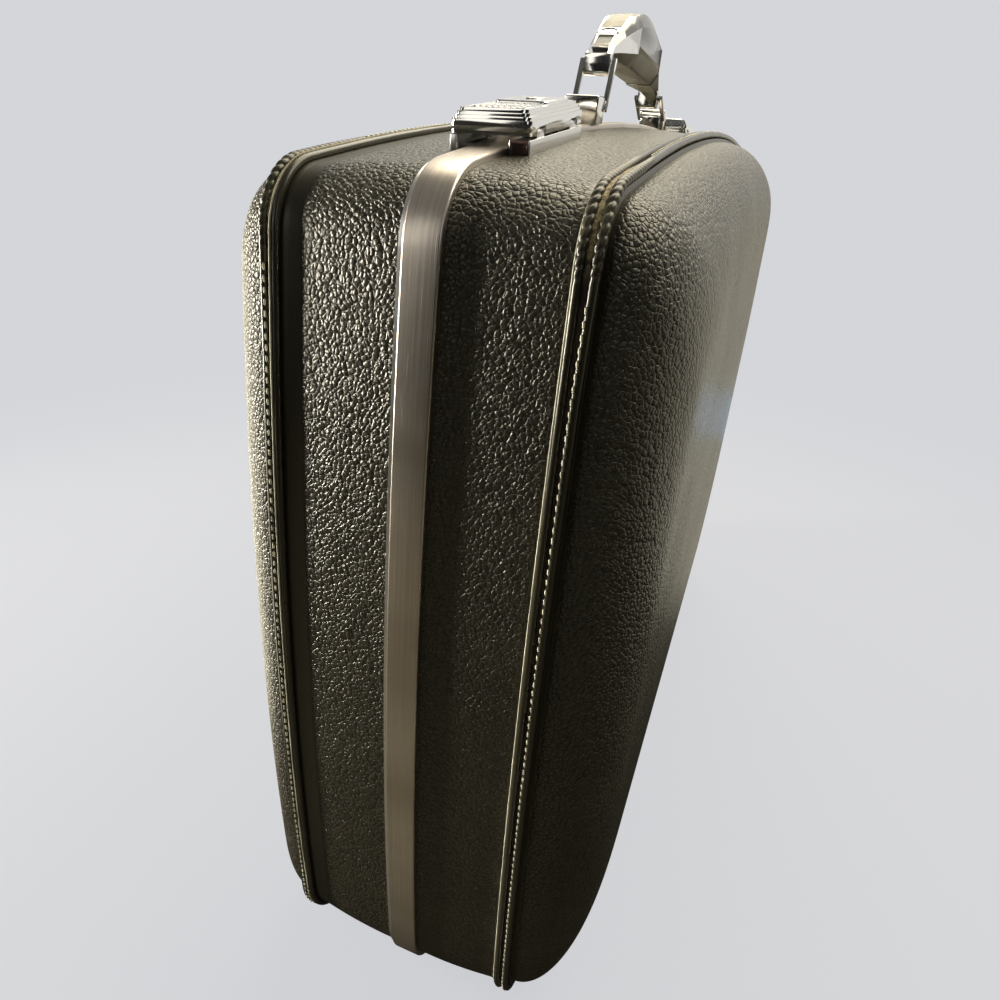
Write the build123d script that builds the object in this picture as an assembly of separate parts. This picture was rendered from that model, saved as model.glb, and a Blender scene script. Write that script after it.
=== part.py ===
from build123d import *
import math
import os

# Hard-shell suitcase standing on its long side, in millimetres.
# X runs across the thickness, lid at -X and base at +X. Y runs along the case, near end at -Y.
# Z is up, and Z = 0 is the plane under the feet.
# The pieces are drawn with X = 0 in the middle of the metal band, and are written with X = 0 in the
# middle of the whole thickness.

# Side outline, at the foot of the two welts
case_length = 640.0
case_height = 470.0
end_bulge = 12.3
top_crown = 20.8
top_corner_radius = 28.0
bottom_corner_radius = 49.0
ground_clearance = 12.0

# Walls, pans and seams
wall_taper = 3.6
wall_thickness = 3.0
base_wall_depth = 58.1
lid_wall_depth = 65.4
welt_width = 9.0
welt_height = 4.8
welt_valley = 2.2
pan_step = 2.0
pan_thickness = 3.0
pan_depth = 37.5
shoulder_width = 60.0
crown_width = 80.0
crown_rise = 3.0
corner_growth = 0.25
lining_thickness = 0.8

# Metal band, frames and joint between the halves
band_width = 16.5
band_stand = 3.0
band_roll = 1.2
joint_gap = 0.4
frame_thickness = 2.0
rim_width = 1.6
rim_height = 4.8
lid_leg_length = 11.4
tongue_length = 4.8
tongue_root = 3.2
tongue_gap = 0.5
tongue_start_height = 40.0

# Hinges under the case
hinge_spacing = 300.0
knuckle_length = 14.0
knuckle_gap = 0.3
knuckle_radius = 2.3
hinge_pin_radius = 1.2
leaf_thickness = 1.2
base_leaf_width = 17.4
lid_leaf_width = 21.0
leaf_neck = 3.0
knuckle_clearance = 0.35
running_gap = 0.05
rivet_radius = 1.5
rivet_head_radius = 2.4
rivet_head_height = 0.8
rivet_spacing = 26.0
rivet_cover = 0.6

# Feet
foot_radius = 9.0
foot_spacing = 460.0
base_foot_x = 34.0
lid_foot_x = -41.0
foot_round = 1.2

# Latches
latch_spacing = 448.0
latch_length = 81.0
latch_width = 36.6
foot_block_width = 9.6
foot_block_top = 2.4
block_recess = 1.2
block_rim = 1.4
keeper_wall = 3.7
keeper_wall_top = 3.4
keeper_plate = 1.2
keeper_lip = 2.2
keeper_lip_thickness = 1.2
cover_bottom = 5.2
cover_skirt = 4.4
cover_step_rise = 1.35
cover_step_inset = 0.9
cover_steps = 3
cover_wall = 1.2
cover_corner = 3.0
lever_axis_inset = 1.7
lever_axis_height = 4.6
lever_knuckle_radius = 1.3
lever_pin_radius = 0.75
lever_lug_length = 10.0
lever_lug_spacing = 50.0
lever_gap = 0.3
slide_length = 26.0
slide_width = 25.0
slide_thickness = 1.4
slide_travel = 4.0
slide_end_margin = 3.0
slide_gap = 0.2
slide_ribs = 9
slide_rib_height = 0.5
panel_margin = 3.0
panel_rise = 1.2
plug_radius = 4.0
plug_gap = 0.1
plug_depth = 4.0
plug_stand = 0.4
key_slot_width = 1.0
key_slot_length = 4.5
key_slot_depth = 2.0
hook_thickness = 1.2
hook_toe = 1.6
hook_length = 30.0
hook_clearance = 0.6
spring_length = 34.0
spring_width = 3.0
spring_thickness = 0.5

# Carrying handle
pivot_spacing = 207.4
pivot_height = 8.0
bail_length = 26.8
near_lean = 24.0
far_lean = 61.0
bail_width = 22.0
bail_bar = 3.0
bail_pin_radius = 1.5
lug_gap = 0.4
post_width = 20.0
post_length = 16.0
post_height = 14.0
post_lug_radius = 3.6
post_round = 1.0
open_pivot_play = 1.2
open_pivot_gap = 0.3
grip_width = 26.0
grip_end_width = 14.2
grip_rise = 38.5
grip_underside = 4.0
grip_arch_radius = 132.0
grip_overhang = 4.0
grip_taper_length = 41.0
grip_top_inset = 4.5
grip_bottom_inset = 5.0
grip_chamfer = 7.0
cap_length = 46.0
cap_stand = 0.5
lip_drop = 7.0
lip_length = 5.0
pad_height = 12.0
insert_width = 13.0
insert_thickness = 1.0

# Inside fittings
strap_width = 22.0
strap_thickness = 1.6
strap_spacing = 230.0
strap_anchor_height = 60.0
buckle_width = 32.0
buckle_length = 40.0
buckle_thickness = 4.0
buckle_bar = 4.0
buckle_height = 240.0
pocket_width = 460.0
pocket_height = 210.0
pocket_bottom = 70.0
pocket_thickness = 2.0
pocket_stand = 6.0
fitting_gap = 0.4

# Worked-out places
base_joint_x = -band_width / 2
lid_joint_x = base_joint_x - joint_gap
band_right_x = band_width / 2
band_offset = wall_taper + band_stand
end_radius = ((case_height / 2) ** 2 + end_bulge ** 2) / (2 * end_bulge)
top_radius = ((case_length / 2) ** 2 + top_crown ** 2) / (2 * top_crown)
end_centre_y = case_length / 2 + end_bulge - end_radius
top_centre_z = case_height + top_crown - top_radius
centre_shift = (lid_wall_depth - base_wall_depth) / 2


def top_height(y, offset):
    """Height of the crowned top at y, for an outline moved outward by offset."""
    radius = top_radius + offset
    return ground_clearance + top_centre_z + math.sqrt(radius ** 2 - y ** 2)


def outline(x, offset, corner_extra=0.0):
    """Closed outline in the plane at x: eight tangent arcs and lines, moved outward by offset."""
    big_end = end_radius + offset
    big_top = top_radius + offset
    top_r = top_corner_radius + max(offset, 0.0) + corner_extra
    low_r = bottom_corner_radius + max(offset, 0.0) + corner_extra
    mid_z = case_height / 2

    # Centre of the top corner, where two circles inside the end arc and the top arc meet
    a = big_end - top_r
    b = big_top - top_r
    dy = -end_centre_y
    dz = top_centre_z - mid_z
    span = math.hypot(dy, dz)
    along = (a * a - b * b + span * span) / (2 * span)
    across = math.sqrt(a * a - along * along)
    top_y = end_centre_y + along * dy / span - across * dz / span
    top_z = mid_z + along * dz / span + across * dy / span
    if top_y < end_centre_y or top_z < mid_z:
        top_y = end_centre_y + along * dy / span + across * dz / span
        top_z = mid_z + along * dz / span - across * dy / span

    # Centre of the bottom corner
    low_z = low_r - offset
    low_y = end_centre_y + math.sqrt((big_end - low_r) ** 2 - (low_z - mid_z) ** 2)

    def on_circle(cy, cz, radius, angle):
        return (cy + radius * math.cos(angle), cz + radius * math.sin(angle))

    low_angle = math.atan2(low_z - mid_z, low_y - end_centre_y)
    high_angle = math.atan2(top_z - mid_z, top_y - end_centre_y)
    top_angle = math.atan2(top_z - top_centre_z, top_y)
    right = [
        (low_y, -offset),
        on_circle(low_y, low_z, low_r, (low_angle - math.pi / 2) / 2),
        on_circle(low_y, low_z, low_r, low_angle),
        on_circle(end_centre_y, mid_z, big_end, (low_angle + high_angle) / 2),
        on_circle(top_y, top_z, top_r, high_angle),
        on_circle(top_y, top_z, top_r, (high_angle + top_angle) / 2),
        on_circle(top_y, top_z, top_r, top_angle),
    ]
    points = [Vector(x, y, z + ground_clearance) for y, z in right]
    mirrored = [Vector(x, -p.Y, p.Z) for p in points]
    crown = Vector(x, 0, ground_clearance + top_centre_z + big_top)
    edges = [
        Edge.make_three_point_arc(points[0], points[1], points[2]),
        Edge.make_three_point_arc(points[2], points[3], points[4]),
        Edge.make_three_point_arc(points[4], points[5], points[6]),
        Edge.make_three_point_arc(points[6], crown, mirrored[6]),
        Edge.make_three_point_arc(mirrored[6], mirrored[5], mirrored[4]),
        Edge.make_three_point_arc(mirrored[4], mirrored[3], mirrored[2]),
        Edge.make_three_point_arc(mirrored[2], mirrored[1], mirrored[0]),
        Edge.make_line(mirrored[0], points[0]),
    ]
    return Wire(edges)


def lofted(stations):
    """Solid through outlines, each given as x, offset and extra corner radius."""
    return Solid.make_loft([outline(*station) for station in stations], True)


def prism(x_low, x_high, offset):
    """Straight solid inside the outline between two planes."""
    return lofted([(x_low, offset), (x_high, offset)])


def ring(x_low, x_high, inner, outer):
    """Straight hoop between two parallel outlines."""
    return prism(x_low, x_high, outer) - prism(x_low, x_high, inner)


def box(x, y, z):
    """Box from three pairs of low and high coordinates."""
    size = (x[1] - x[0], y[1] - y[0], z[1] - z[0])
    centre = ((x[0] + x[1]) / 2, (y[0] + y[1]) / 2, (z[0] + z[1]) / 2)
    return Pos(*centre) * Box(*size)


def rod(radius, low, high, x, z, axis_y=0.0):
    """Round rod along Y at a given x and z."""
    middle = (low + high) / 2 + axis_y
    return Pos(x, middle, z) * Rot(90, 0, 0) * Cylinder(radius, high - low)


def cross_rod(radius, half_width, y, z):
    """Round rod along X, centred on the band."""
    return Pos(0, y, z) * Rot(0, 90, 0) * Cylinder(radius, 2 * half_width)


def together(pieces):
    """One group of separate solids."""
    group = pieces[0]
    for piece in pieces[1:]:
        group += piece
    return group


def write(name, shape):
    """Write one node."""
    placed = Pos(centre_shift, 0, 0) * shape
    placed.label = name
    export_step(placed, os.path.join("parts", name + ".step"))


# The two halves mirror each other apart from their depths, so one side sign serves both


def half_places(side):
    """Places across the thickness of one half: wall start, taper start, welt start, middle and end."""
    depth = base_wall_depth if side > 0 else lid_wall_depth
    start = base_joint_x if side > 0 else lid_joint_x - rim_width
    flat_end = band_right_x if side > 0 else lid_joint_x - rim_width - band_roll
    welt_start = side * depth
    return start, flat_end, welt_start, welt_start + side * welt_width / 2, welt_start + side * welt_width


def wall_surface(side, inward):
    """Solid inside the side wall's surface, moved inward, from the joint to the middle of the welt."""
    start, flat_end, welt_start, welt_middle, _ = half_places(side)
    stations = [
        (start, wall_taper - inward),
        (flat_end, wall_taper - inward),
        (welt_start, -inward),
        (welt_middle, -inward),
    ]
    return lofted(stations)


def side_wall(side):
    """Moulded hoop between the joint and the welt."""
    return wall_surface(side, 0.0) - wall_surface(side, wall_thickness)


def pan_stations(side, inward):
    """Outlines of the pan: flange under the welt, quarter-ellipse shoulder, low crown."""
    _, _, _, welt_middle, welt_end = half_places(side)
    shoulder_depth = pan_depth - inward
    stations = [(welt_middle, -inward), (welt_end, -inward)]
    if inward == 0.0:
        stations = [(welt_middle, 0.0), (welt_end, 0.0), (welt_end + side * pan_step / 4, pan_step)]
        shoulder_depth = pan_depth - pan_step / 4
    first = stations[-1]
    steps = 8
    for i in range(1, steps + 1):
        angle = math.pi / 2 * i / steps
        inset = shoulder_width * (1 - math.cos(angle))
        depth = shoulder_depth * math.sin(angle)
        stations.append((first[0] + side * depth, first[1] - inset, corner_growth * inset))
    last = stations[-1]
    rise_x = last[0] + side * crown_rise
    stations.append((rise_x, last[1] - crown_width, corner_growth * (shoulder_width + crown_width)))
    return stations


def pan(side):
    """Large domed face of one half."""
    return lofted(pan_stations(side, 0.0)) - lofted(pan_stations(side, pan_thickness))


def welt(side):
    """Hoop with two piping ridges over the seam between wall and pan."""
    _, _, start, _, end = half_places(side)
    radius = welt_width / 4
    stations = [(start, 0.4)]
    for centre in (start + side * radius, end - side * radius):
        for share in (-0.75, 0.0, 0.75):
            height = welt_valley + (welt_height - welt_valley) * math.sqrt(1 - share ** 2)
            stations.append((centre + side * share * radius, height))
    stations.append((end, 0.4))
    stations.sort(key=lambda station: side * station[0])
    hoop = lofted(stations)
    return hoop - prism(start, end, 0.0)


def lining_surface(side, depth):
    """Solid inside the lining's face, from the frame to the pan, moved inward by depth."""
    _, flat_end, welt_start, _, _ = half_places(side)
    frame_end = lid_joint_x - lid_leg_length if side < 0 else band_right_x
    share = (welt_start - frame_end) / (welt_start - flat_end)
    stations = [
        (frame_end, wall_taper * share - wall_thickness - depth),
        (welt_start, -wall_thickness - depth),
    ]
    return lofted(stations + pan_stations(side, pan_thickness + depth)[1:])


def lining(side):
    """Thin fabric lining against the inside of one half."""
    return lining_surface(side, 0.0) - lining_surface(side, lining_thickness)


def frame_of_base():
    """Aluminium frame of the base, with a tongue that enters the lid."""
    inner_face = wall_taper - wall_thickness
    low = inner_face - frame_thickness
    tongue_outer = low - tongue_gap
    tongue_inner = tongue_outer - frame_thickness
    body = ring(base_joint_x, band_right_x, low, inner_face)
    web = ring(base_joint_x, base_joint_x + tongue_root, tongue_inner, low)
    tongue = ring(base_joint_x - tongue_length, base_joint_x, tongue_inner, tongue_outer)
    cut_z = (-1.0, ground_clearance + tongue_start_height)
    cut = box((base_joint_x - 2 * tongue_length, base_joint_x), (-case_length, case_length), cut_z)
    return body + web + (tongue - cut)


def frame_of_lid():
    """Aluminium frame of the lid: a leg inside the wall and a thin rim beside the band."""
    inner_face = wall_taper - wall_thickness
    leg = ring(lid_joint_x - lid_leg_length, lid_joint_x, inner_face - frame_thickness, inner_face)
    rim = ring(lid_joint_x - rim_width, lid_joint_x, inner_face, rim_height)
    taper_end = lid_joint_x - rim_width - band_roll
    # The leg follows the wall only as far as the wall stays parallel, so what would cut into it goes
    outside = prism(lid_joint_x - lid_leg_length, taper_end, inner_face) - wall_surface(-1, wall_thickness)
    return leg + rim - outside


def band():
    """Stainless band on the base, with rolled edges."""
    stations = [
        (base_joint_x, band_offset - band_roll),
        (base_joint_x + band_roll * 0.3, band_offset - band_roll * 0.3),
        (base_joint_x + band_roll, band_offset),
        (band_right_x - band_roll, band_offset),
        (band_right_x - band_roll * 0.3, band_offset - band_roll * 0.3),
        (band_right_x, band_offset - band_roll),
    ]
    hoop = lofted(stations) - prism(base_joint_x, band_right_x, wall_taper)
    for y in (-hinge_spacing / 2, hinge_spacing / 2):
        half = hinge_half_length() + knuckle_clearance
        hoop -= rod(knuckle_radius + knuckle_clearance, y - half, y + half, hinge_x(), hinge_z())
        for rivet_y in rivet_places(y):
            hoop -= rivet_shank(1, rivet_y)
    return hoop


# Hinges


def hinge_x():
    """Hinge axis, in the middle of the joint gap."""
    return base_joint_x - joint_gap / 2


def hinge_z():
    """Hinge axis, one leaf's thickness below the band."""
    return ground_clearance - band_offset - leaf_thickness


def hinge_half_length():
    """Half the length of one hinge of three knuckles."""
    return 1.5 * knuckle_length


def rivet_places(y):
    """Places along one hinge leaf."""
    return (y - rivet_spacing / 2, y + rivet_spacing / 2)


def rivet_x(side):
    """Rivet line of the leaves on one half."""
    reach = base_leaf_width if side > 0 else -lid_leaf_width
    return hinge_x() + reach - side * 2 * rivet_head_radius


def rivet_shank(side, y):
    """Shank that passes through a leaf, and through the band or into the lid's wall above it."""
    top = ground_clearance - (wall_taper if side > 0 else rivet_cover)
    return Pos(rivet_x(side), y, 0) * extrude_up(Circle(rivet_radius), hinge_z() - rivet_head_height / 2, top)


def extrude_up(sketch, low, high):
    """Straight extrusion of a sketch between two heights."""
    return Pos(0, 0, low) * extrude(sketch, high - low)


def hinge_leaves(side):
    """Leaves of both hinges on one half, with their knuckles."""
    leaves = []
    axis_x, axis_z = hinge_x(), hinge_z()
    reach = base_leaf_width if side > 0 else lid_leaf_width
    neck_end = axis_x + side * leaf_neck
    for y in (-hinge_spacing / 2, hinge_spacing / 2):
        half = hinge_half_length()
        plate_x = sorted((neck_end, axis_x + side * reach))
        plate_top = axis_z + leaf_thickness if side > 0 else ground_clearance
        plate = box(plate_x, (y - half, y + half), (axis_z, plate_top))
        third = knuckle_length / 2
        spans = [(-half, -third - knuckle_gap), (third + knuckle_gap, half)] if side > 0 else [(-third, third)]
        for low, high in spans:
            plate += rod(knuckle_radius, y + low, y + high, axis_x, axis_z)
            neck_x = sorted((axis_x, neck_end))
            plate += box(neck_x, (y + low, y + high), (axis_z, axis_z + leaf_thickness))
        bore = hinge_pin_radius if side > 0 else hinge_pin_radius + running_gap
        plate -= rod(bore, y - half - 1, y + half + 1, axis_x, axis_z)
        for rivet_y in rivet_places(y):
            plate -= rivet_shank(side, rivet_y)
        leaves.append(plate)
    group = together(leaves)
    if side > 0:
        return group
    lid_body = wall_surface(-1, 0.0) + prism(lid_joint_x - rim_width, lid_joint_x, rim_height)
    return group - lid_body


def hinge_pins():
    """Steel pin of each hinge."""
    half = hinge_half_length()
    pins = [rod(hinge_pin_radius, y - half, y + half, hinge_x(), hinge_z())
            for y in (-hinge_spacing / 2, hinge_spacing / 2)]
    return together(pins)


def hinge_rivets(side):
    """Rivets of both leaves on one half."""
    rivets = []
    for y in (-hinge_spacing / 2, hinge_spacing / 2):
        for rivet_y in rivet_places(y):
            head = Pos(rivet_x(side), rivet_y, 0) * extrude_up(
                Circle(rivet_head_radius), hinge_z() - rivet_head_height, hinge_z())
            rivets.append(head + rivet_shank(side, rivet_y))
    return together(rivets)


def wall_holes(side):
    """Rivet holes in the lid's wall. The base's rivets end in the band."""
    if side > 0:
        return []
    return [rivet_shank(side, rivet_y)
            for y in (-hinge_spacing / 2, hinge_spacing / 2) for rivet_y in rivet_places(y)]


def feet(side):
    """Two low round feet under one half."""
    x = base_foot_x if side > 0 else lid_foot_x
    places = (-foot_spacing / 2, foot_spacing / 2)
    outside = wall_surface(side, 0.0)
    pieces = []
    for y in places:
        foot = Pos(x, y, 0) * extrude_up(Circle(foot_radius), 0.0, ground_clearance + wall_taper)
        foot = fillet(foot.edges().group_by(Axis.Z)[0], foot_round)
        pieces.append((foot - outside).solids().sort_by(Axis.Z)[0])
    return together(pieces)


# Latches, drawn for the near end in a frame that lies on the band, then turned to the crown


def latch_place():
    """Place of the near latch: on the band's surface, tilted to the crowned top."""
    y = -latch_spacing / 2
    tilt = math.degrees(math.asin(latch_spacing / 2 / (top_radius + band_offset)))
    return Location((0, y, top_height(y, band_offset)), (tilt, 0, 0))


def both_ends(shape):
    """The near piece and its mirror image at the far end."""
    near = latch_place() * shape
    return near, near.mirror(Plane.XZ)


def latch_block():
    """Foot of the latch on the base, with the lugs that hold the cover."""
    half_width = latch_width / 2
    half_length = latch_length / 2
    x_low = half_width - foot_block_width
    body = box((x_low, half_width), (-half_length, half_length), (-2 * band_offset, foot_block_top))
    body = fillet(body.edges().filter_by(Axis.Z), 1.0)
    recess_x = (x_low + block_rim, half_width - block_rim)
    recess_z = (-band_stand - block_rim, foot_block_top - block_rim)
    for end in (-1, 1):
        ends = sorted((end * half_length, end * (half_length - block_recess)))
        body -= box(recess_x, ends, recess_z)
    axis_x = half_width - lever_axis_inset
    for centre in (-lever_lug_spacing / 2, lever_lug_spacing / 2):
        low, high = centre - lever_lug_length / 2, centre + lever_lug_length / 2
        body += rod(lever_knuckle_radius, low, high, axis_x, lever_axis_height)
        body += box(
            (axis_x - lever_knuckle_radius, axis_x + lever_knuckle_radius),
            (low, high), (foot_block_top - 1.0, lever_axis_height))
    body -= rod(lever_pin_radius, -latch_length, latch_length, axis_x, lever_axis_height)
    return body


def latch_keeper():
    """Keeper of the latch on the lid, with a lip that the hook comes down beside."""
    half_width = latch_width / 2
    half_length = latch_length / 2
    plate_right = lid_joint_x - joint_gap
    wall = box((-half_width, -half_width + keeper_wall), (-half_length, half_length),
               (-2 * band_offset, keeper_wall_top))
    wall = fillet(wall.edges().filter_by(Axis.Z), 1.0)
    plate = box((-half_width + keeper_wall, plate_right), (-hook_length, hook_length),
                (-2 * band_offset, -band_stand + keeper_plate + 1.0))
    lip = box((-half_width + keeper_wall - 0.5, -half_width + keeper_wall + keeper_lip),
              (-hook_length / 2, hook_length / 2),
              (keeper_wall_top - keeper_lip_thickness, keeper_wall_top))
    return wall + plate + lip


def cover_top():
    """Height of the cover's upper face."""
    return cover_bottom + cover_skirt + cover_steps * cover_step_rise


def slide_span():
    """Slide and its recess along the latch: recess low and high end, and where the slide starts."""
    low = -latch_length / 2 + cover_steps * cover_step_inset + slide_end_margin
    high = low + slide_length + slide_travel + 2 * slide_gap
    return low, high, low + slide_travel + slide_gap


def plug_y():
    """Place of the lock along the latch."""
    high_end = latch_length / 2 - cover_steps * cover_step_inset
    return (slide_span()[1] + high_end) / 2


def rounded_block(half_x, half_y, low, high, radius):
    """Block with round upright corners."""
    return extrude_up(RectangleRounded(2 * half_x, 2 * half_y, radius), low, high)


def latch_cover():
    """Stepped hollow cover that turns on the lugs, with a recess for the slide and a bore for the lock."""
    half_width = latch_width / 2
    half_length = latch_length / 2
    body = rounded_block(half_width, half_length, cover_bottom, cover_bottom + cover_skirt, cover_corner)
    for step in range(1, cover_steps + 1):
        inset = step * cover_step_inset
        low = cover_bottom + cover_skirt + (step - 1) * cover_step_rise
        body += rounded_block(half_width - inset, half_length - inset, low - 0.2, low + cover_step_rise,
                              cover_corner)
    low, high, _ = slide_span()
    panel_low = high + panel_margin / 2
    panel_high = half_length - cover_steps * cover_step_inset - panel_margin
    panel_half = half_width - cover_steps * cover_step_inset - panel_margin
    panel = RectangleRounded(2 * panel_half, panel_high - panel_low, cover_corner)
    panel = Pos(0, (panel_low + panel_high) / 2, 0) * extrude_up(panel, cover_top() - 0.2,
                                                                cover_top() + panel_rise)
    body += chamfer(panel.edges().group_by(Axis.Z)[-1], panel_rise / 2)
    inner_top = cover_top() - slide_thickness - cover_wall
    body -= box((-half_width + cover_wall, half_width - cover_wall),
                (-half_length + cover_wall, half_length - cover_wall), (cover_bottom - 1, cover_bottom + 2.5))
    body -= box((-half_width + 3 * cover_wall, half_width - 3 * cover_wall),
                (-half_length + 3 * cover_wall, half_length - 3 * cover_wall), (cover_bottom, inner_top))
    body -= box((-slide_width / 2 - slide_gap, slide_width / 2 + slide_gap), (low, high),
                (cover_top() - slide_thickness, cover_top() + 1))
    boss = Pos(0, plug_y(), 0) * extrude_up(
        Circle(plug_radius + cover_wall), cover_top() - plug_depth, cover_top() + panel_rise / 2)
    body += boss
    body -= Pos(0, plug_y(), 0) * extrude_up(
        Circle(plug_radius + plug_gap), cover_top() - plug_depth - 1, cover_top() + 2 * panel_rise)

    # Hook that comes down beside the keeper's lip
    lip_end = -half_width + keeper_wall + keeper_lip
    hook_x = (lip_end + hook_clearance, lip_end + hook_clearance + hook_thickness)
    body += box(hook_x, (-hook_length / 2, hook_length / 2), (keeper_wall_top - 2 * hook_toe, inner_top + 0.5))
    body += box((hook_x[0], hook_x[1] + hook_toe), (-hook_length / 2, hook_length / 2),
                (keeper_wall_top - 2 * hook_toe, keeper_wall_top - hook_toe))

    # Knuckle between the lugs, and notches that clear the lugs as the cover turns
    axis_x = half_width - lever_axis_inset
    inner_low = -lever_lug_spacing / 2 + lever_lug_length / 2 + lever_gap
    web = (axis_x - lever_knuckle_radius, axis_x + lever_knuckle_radius)
    body += box(web, (inner_low, -inner_low), (lever_axis_height, cover_bottom + 1.2))
    body += rod(lever_knuckle_radius, inner_low, -inner_low, axis_x, lever_axis_height)
    for centre in (-lever_lug_spacing / 2, lever_lug_spacing / 2):
        reach = lever_lug_length / 2 + lever_gap
        body -= box((web[0] - 2 * lever_gap, half_width + 1), (centre - reach, centre + reach),
                    (cover_bottom - 1, lever_axis_height + 2.2))
    body -= rod(lever_pin_radius + running_gap, -latch_length, latch_length, axis_x, lever_axis_height)
    return body


def latch_slide():
    """Ribbed thumb slide in the cover's recess."""
    _, _, start = slide_span()
    low = cover_top() - slide_thickness + slide_gap
    plate = box((-slide_width / 2, slide_width / 2), (start, start + slide_length), (low, cover_top()))
    pitch = slide_width / slide_ribs
    for i in range(slide_ribs):
        x = -slide_width / 2 + (i + 0.5) * pitch
        plate += box((x - pitch / 4, x + pitch / 4), (start + 1, start + slide_length - 1),
                     (cover_top() - 0.2, cover_top() + slide_rib_height))
    return plate


def lock_plug():
    """Round lock with a key slot."""
    top = cover_top() + panel_rise + plug_stand
    plug = extrude_up(Circle(plug_radius), cover_top() - plug_depth, top)
    plug = chamfer(plug.edges().group_by(Axis.Z)[-1], 0.3)
    plug -= box((-key_slot_width / 2, key_slot_width / 2), (-key_slot_length / 2, key_slot_length / 2),
                (top - key_slot_depth, top + 1))
    return Pos(0, plug_y(), 0) * plug


def lever_pin():
    """Steel pin through the lugs and the cover's knuckle."""
    half = lever_lug_spacing / 2 + lever_lug_length / 2
    return rod(lever_pin_radius, -half, half, latch_width / 2 - lever_axis_inset, lever_axis_height)


def lever_spring():
    """Leaf spring on the block, under the cover."""
    half_width = latch_width / 2
    x = half_width - foot_block_width + block_rim
    flat = box((x, x + spring_width), (-spring_length / 2, spring_length / 2),
               (foot_block_top, foot_block_top + spring_thickness))
    rise = box((x, x + spring_width), (-spring_thickness, spring_thickness),
               (foot_block_top, cover_bottom - lever_gap))
    return flat + rise


def seat_on_case(shape, side):
    """Trim a piece to the case's outer surface on one half."""
    outside = wall_surface(side, 0.0)
    if side > 0:
        outside += prism(base_joint_x, band_right_x, band_offset)
    else:
        outside += prism(lid_joint_x - rim_width, lid_joint_x, rim_height)
    trimmed = shape - outside
    return trimmed.solids().sort_by(SortBy.VOLUME)[-1]


# Handle


def pivot_z():
    """Height of the two lower pivots."""
    return top_height(pivot_spacing / 2, band_offset) + pivot_height


def upper_pivot(side):
    """Place of one upper pivot in the Y-Z plane, in the pose where the handle rests."""
    lean = math.radians(near_lean if side < 0 else far_lean)
    y = side * (pivot_spacing / 2 - bail_length * math.sin(lean))
    return y, pivot_z() + bail_length * math.cos(lean)


def grip_span():
    """Distance between the grip's two bores, shortened by the play of the open pivot."""
    near, far = upper_pivot(-1), upper_pivot(1)
    return math.hypot(far[0] - near[0], far[1] - near[1]) - open_pivot_play


def grip_tilt():
    """Tilt of the grip where the handle rests, in degrees about X."""
    near, far = upper_pivot(-1), upper_pivot(1)
    return math.degrees(math.atan2(far[1] - near[1], far[0] - near[0]))


def post(side):
    """Block on the band with a lug that the bail's lower bar turns in."""
    y_pivot = side * pivot_spacing / 2
    lug_half = bail_width / 2 - bail_bar - lug_gap
    bottom = top_height(pivot_spacing / 2 + post_length, band_offset) - 1.0
    top = pivot_z() - pivot_height + post_height
    clear = bail_bar / 2 + 1.0
    outer_y = sorted((y_pivot + side * clear, y_pivot + side * (clear + post_length)))
    block = box((-post_width / 2, post_width / 2), outer_y, (bottom, top))
    block = fillet(block.edges().filter_by(Axis.Z) + block.edges().group_by(Axis.Z)[-1], post_round)
    lug_y = sorted((y_pivot - side * post_lug_radius, y_pivot + side * (clear + 1.0)))
    lug = box((-lug_half, lug_half), lug_y, (bottom, pivot_z()))
    lug += cross_rod(post_lug_radius, lug_half, y_pivot, pivot_z())
    shape = block + lug - cross_rod(bail_pin_radius + running_gap, post_width, y_pivot, pivot_z())
    shape -= prism(-post_width, post_width, band_offset)
    return shape.solids().sort_by(SortBy.VOLUME)[-1]


def bail(side):
    """Closed link of two square legs and two round bars."""
    lean = near_lean if side < 0 else far_lean
    half_width = bail_width / 2
    leg_in = half_width - bail_bar
    legs = []
    for sign in (-1, 1):
        x = sorted((sign * leg_in, sign * half_width))
        leg = box(x, (-bail_bar / 2, bail_bar / 2), (-bail_bar / 2, bail_length + bail_bar / 2))
        legs.append(fillet(leg.edges().filter_by(Axis.Z), 0.6))
    loop = legs[0] + legs[1]
    for height in (0.0, bail_length):
        loop += cross_rod(bail_pin_radius, leg_in + 0.5, 0.0, height)
    return Location((0, side * pivot_spacing / 2, pivot_z()), (side * lean, 0, 0)) * loop


def grip_section(s, grow=0.0):
    """Eight-sided section of the grip at the distance s from the near bore, in the grip's own frame."""
    from_middle = abs(s - grip_span() / 2)
    end = grip_span() / 2 - grip_overhang
    share = min(max((end - from_middle) / grip_taper_length, 0.0), 1.0)
    half = grip_end_width / 2 + (grip_width - grip_end_width) / 2 * share + grow
    top = grip_rise - (grip_arch_radius - math.sqrt(grip_arch_radius ** 2 - from_middle ** 2)) + grow
    bottom = min(grip_underside, top - 5.0) - grow
    chamfer_z = min(grip_chamfer, 0.3 * (top - bottom))
    top_half = half - min(grip_top_inset, 0.3 * half)
    low_half = half - min(grip_bottom_inset, 0.35 * half)
    low = bottom + 0.35 * (top - chamfer_z - bottom)
    points = [
        (low_half, bottom), (half, low), (half, top - chamfer_z), (top_half, top),
        (-top_half, top), (-half, top - chamfer_z), (-half, low), (-low_half, bottom),
    ]
    return Wire.make_polygon([Vector(x, s, z) for x, z in points], close=True)


def grip_body(s_low, s_high, grow=0.0):
    """Part of the grip between two stations."""
    steps = max(int((s_high - s_low) / 8.0), 2)
    places = [s_low + (s_high - s_low) * i / steps for i in range(steps + 1)]
    return Solid.make_loft([grip_section(s, grow) for s in places], True)


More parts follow.
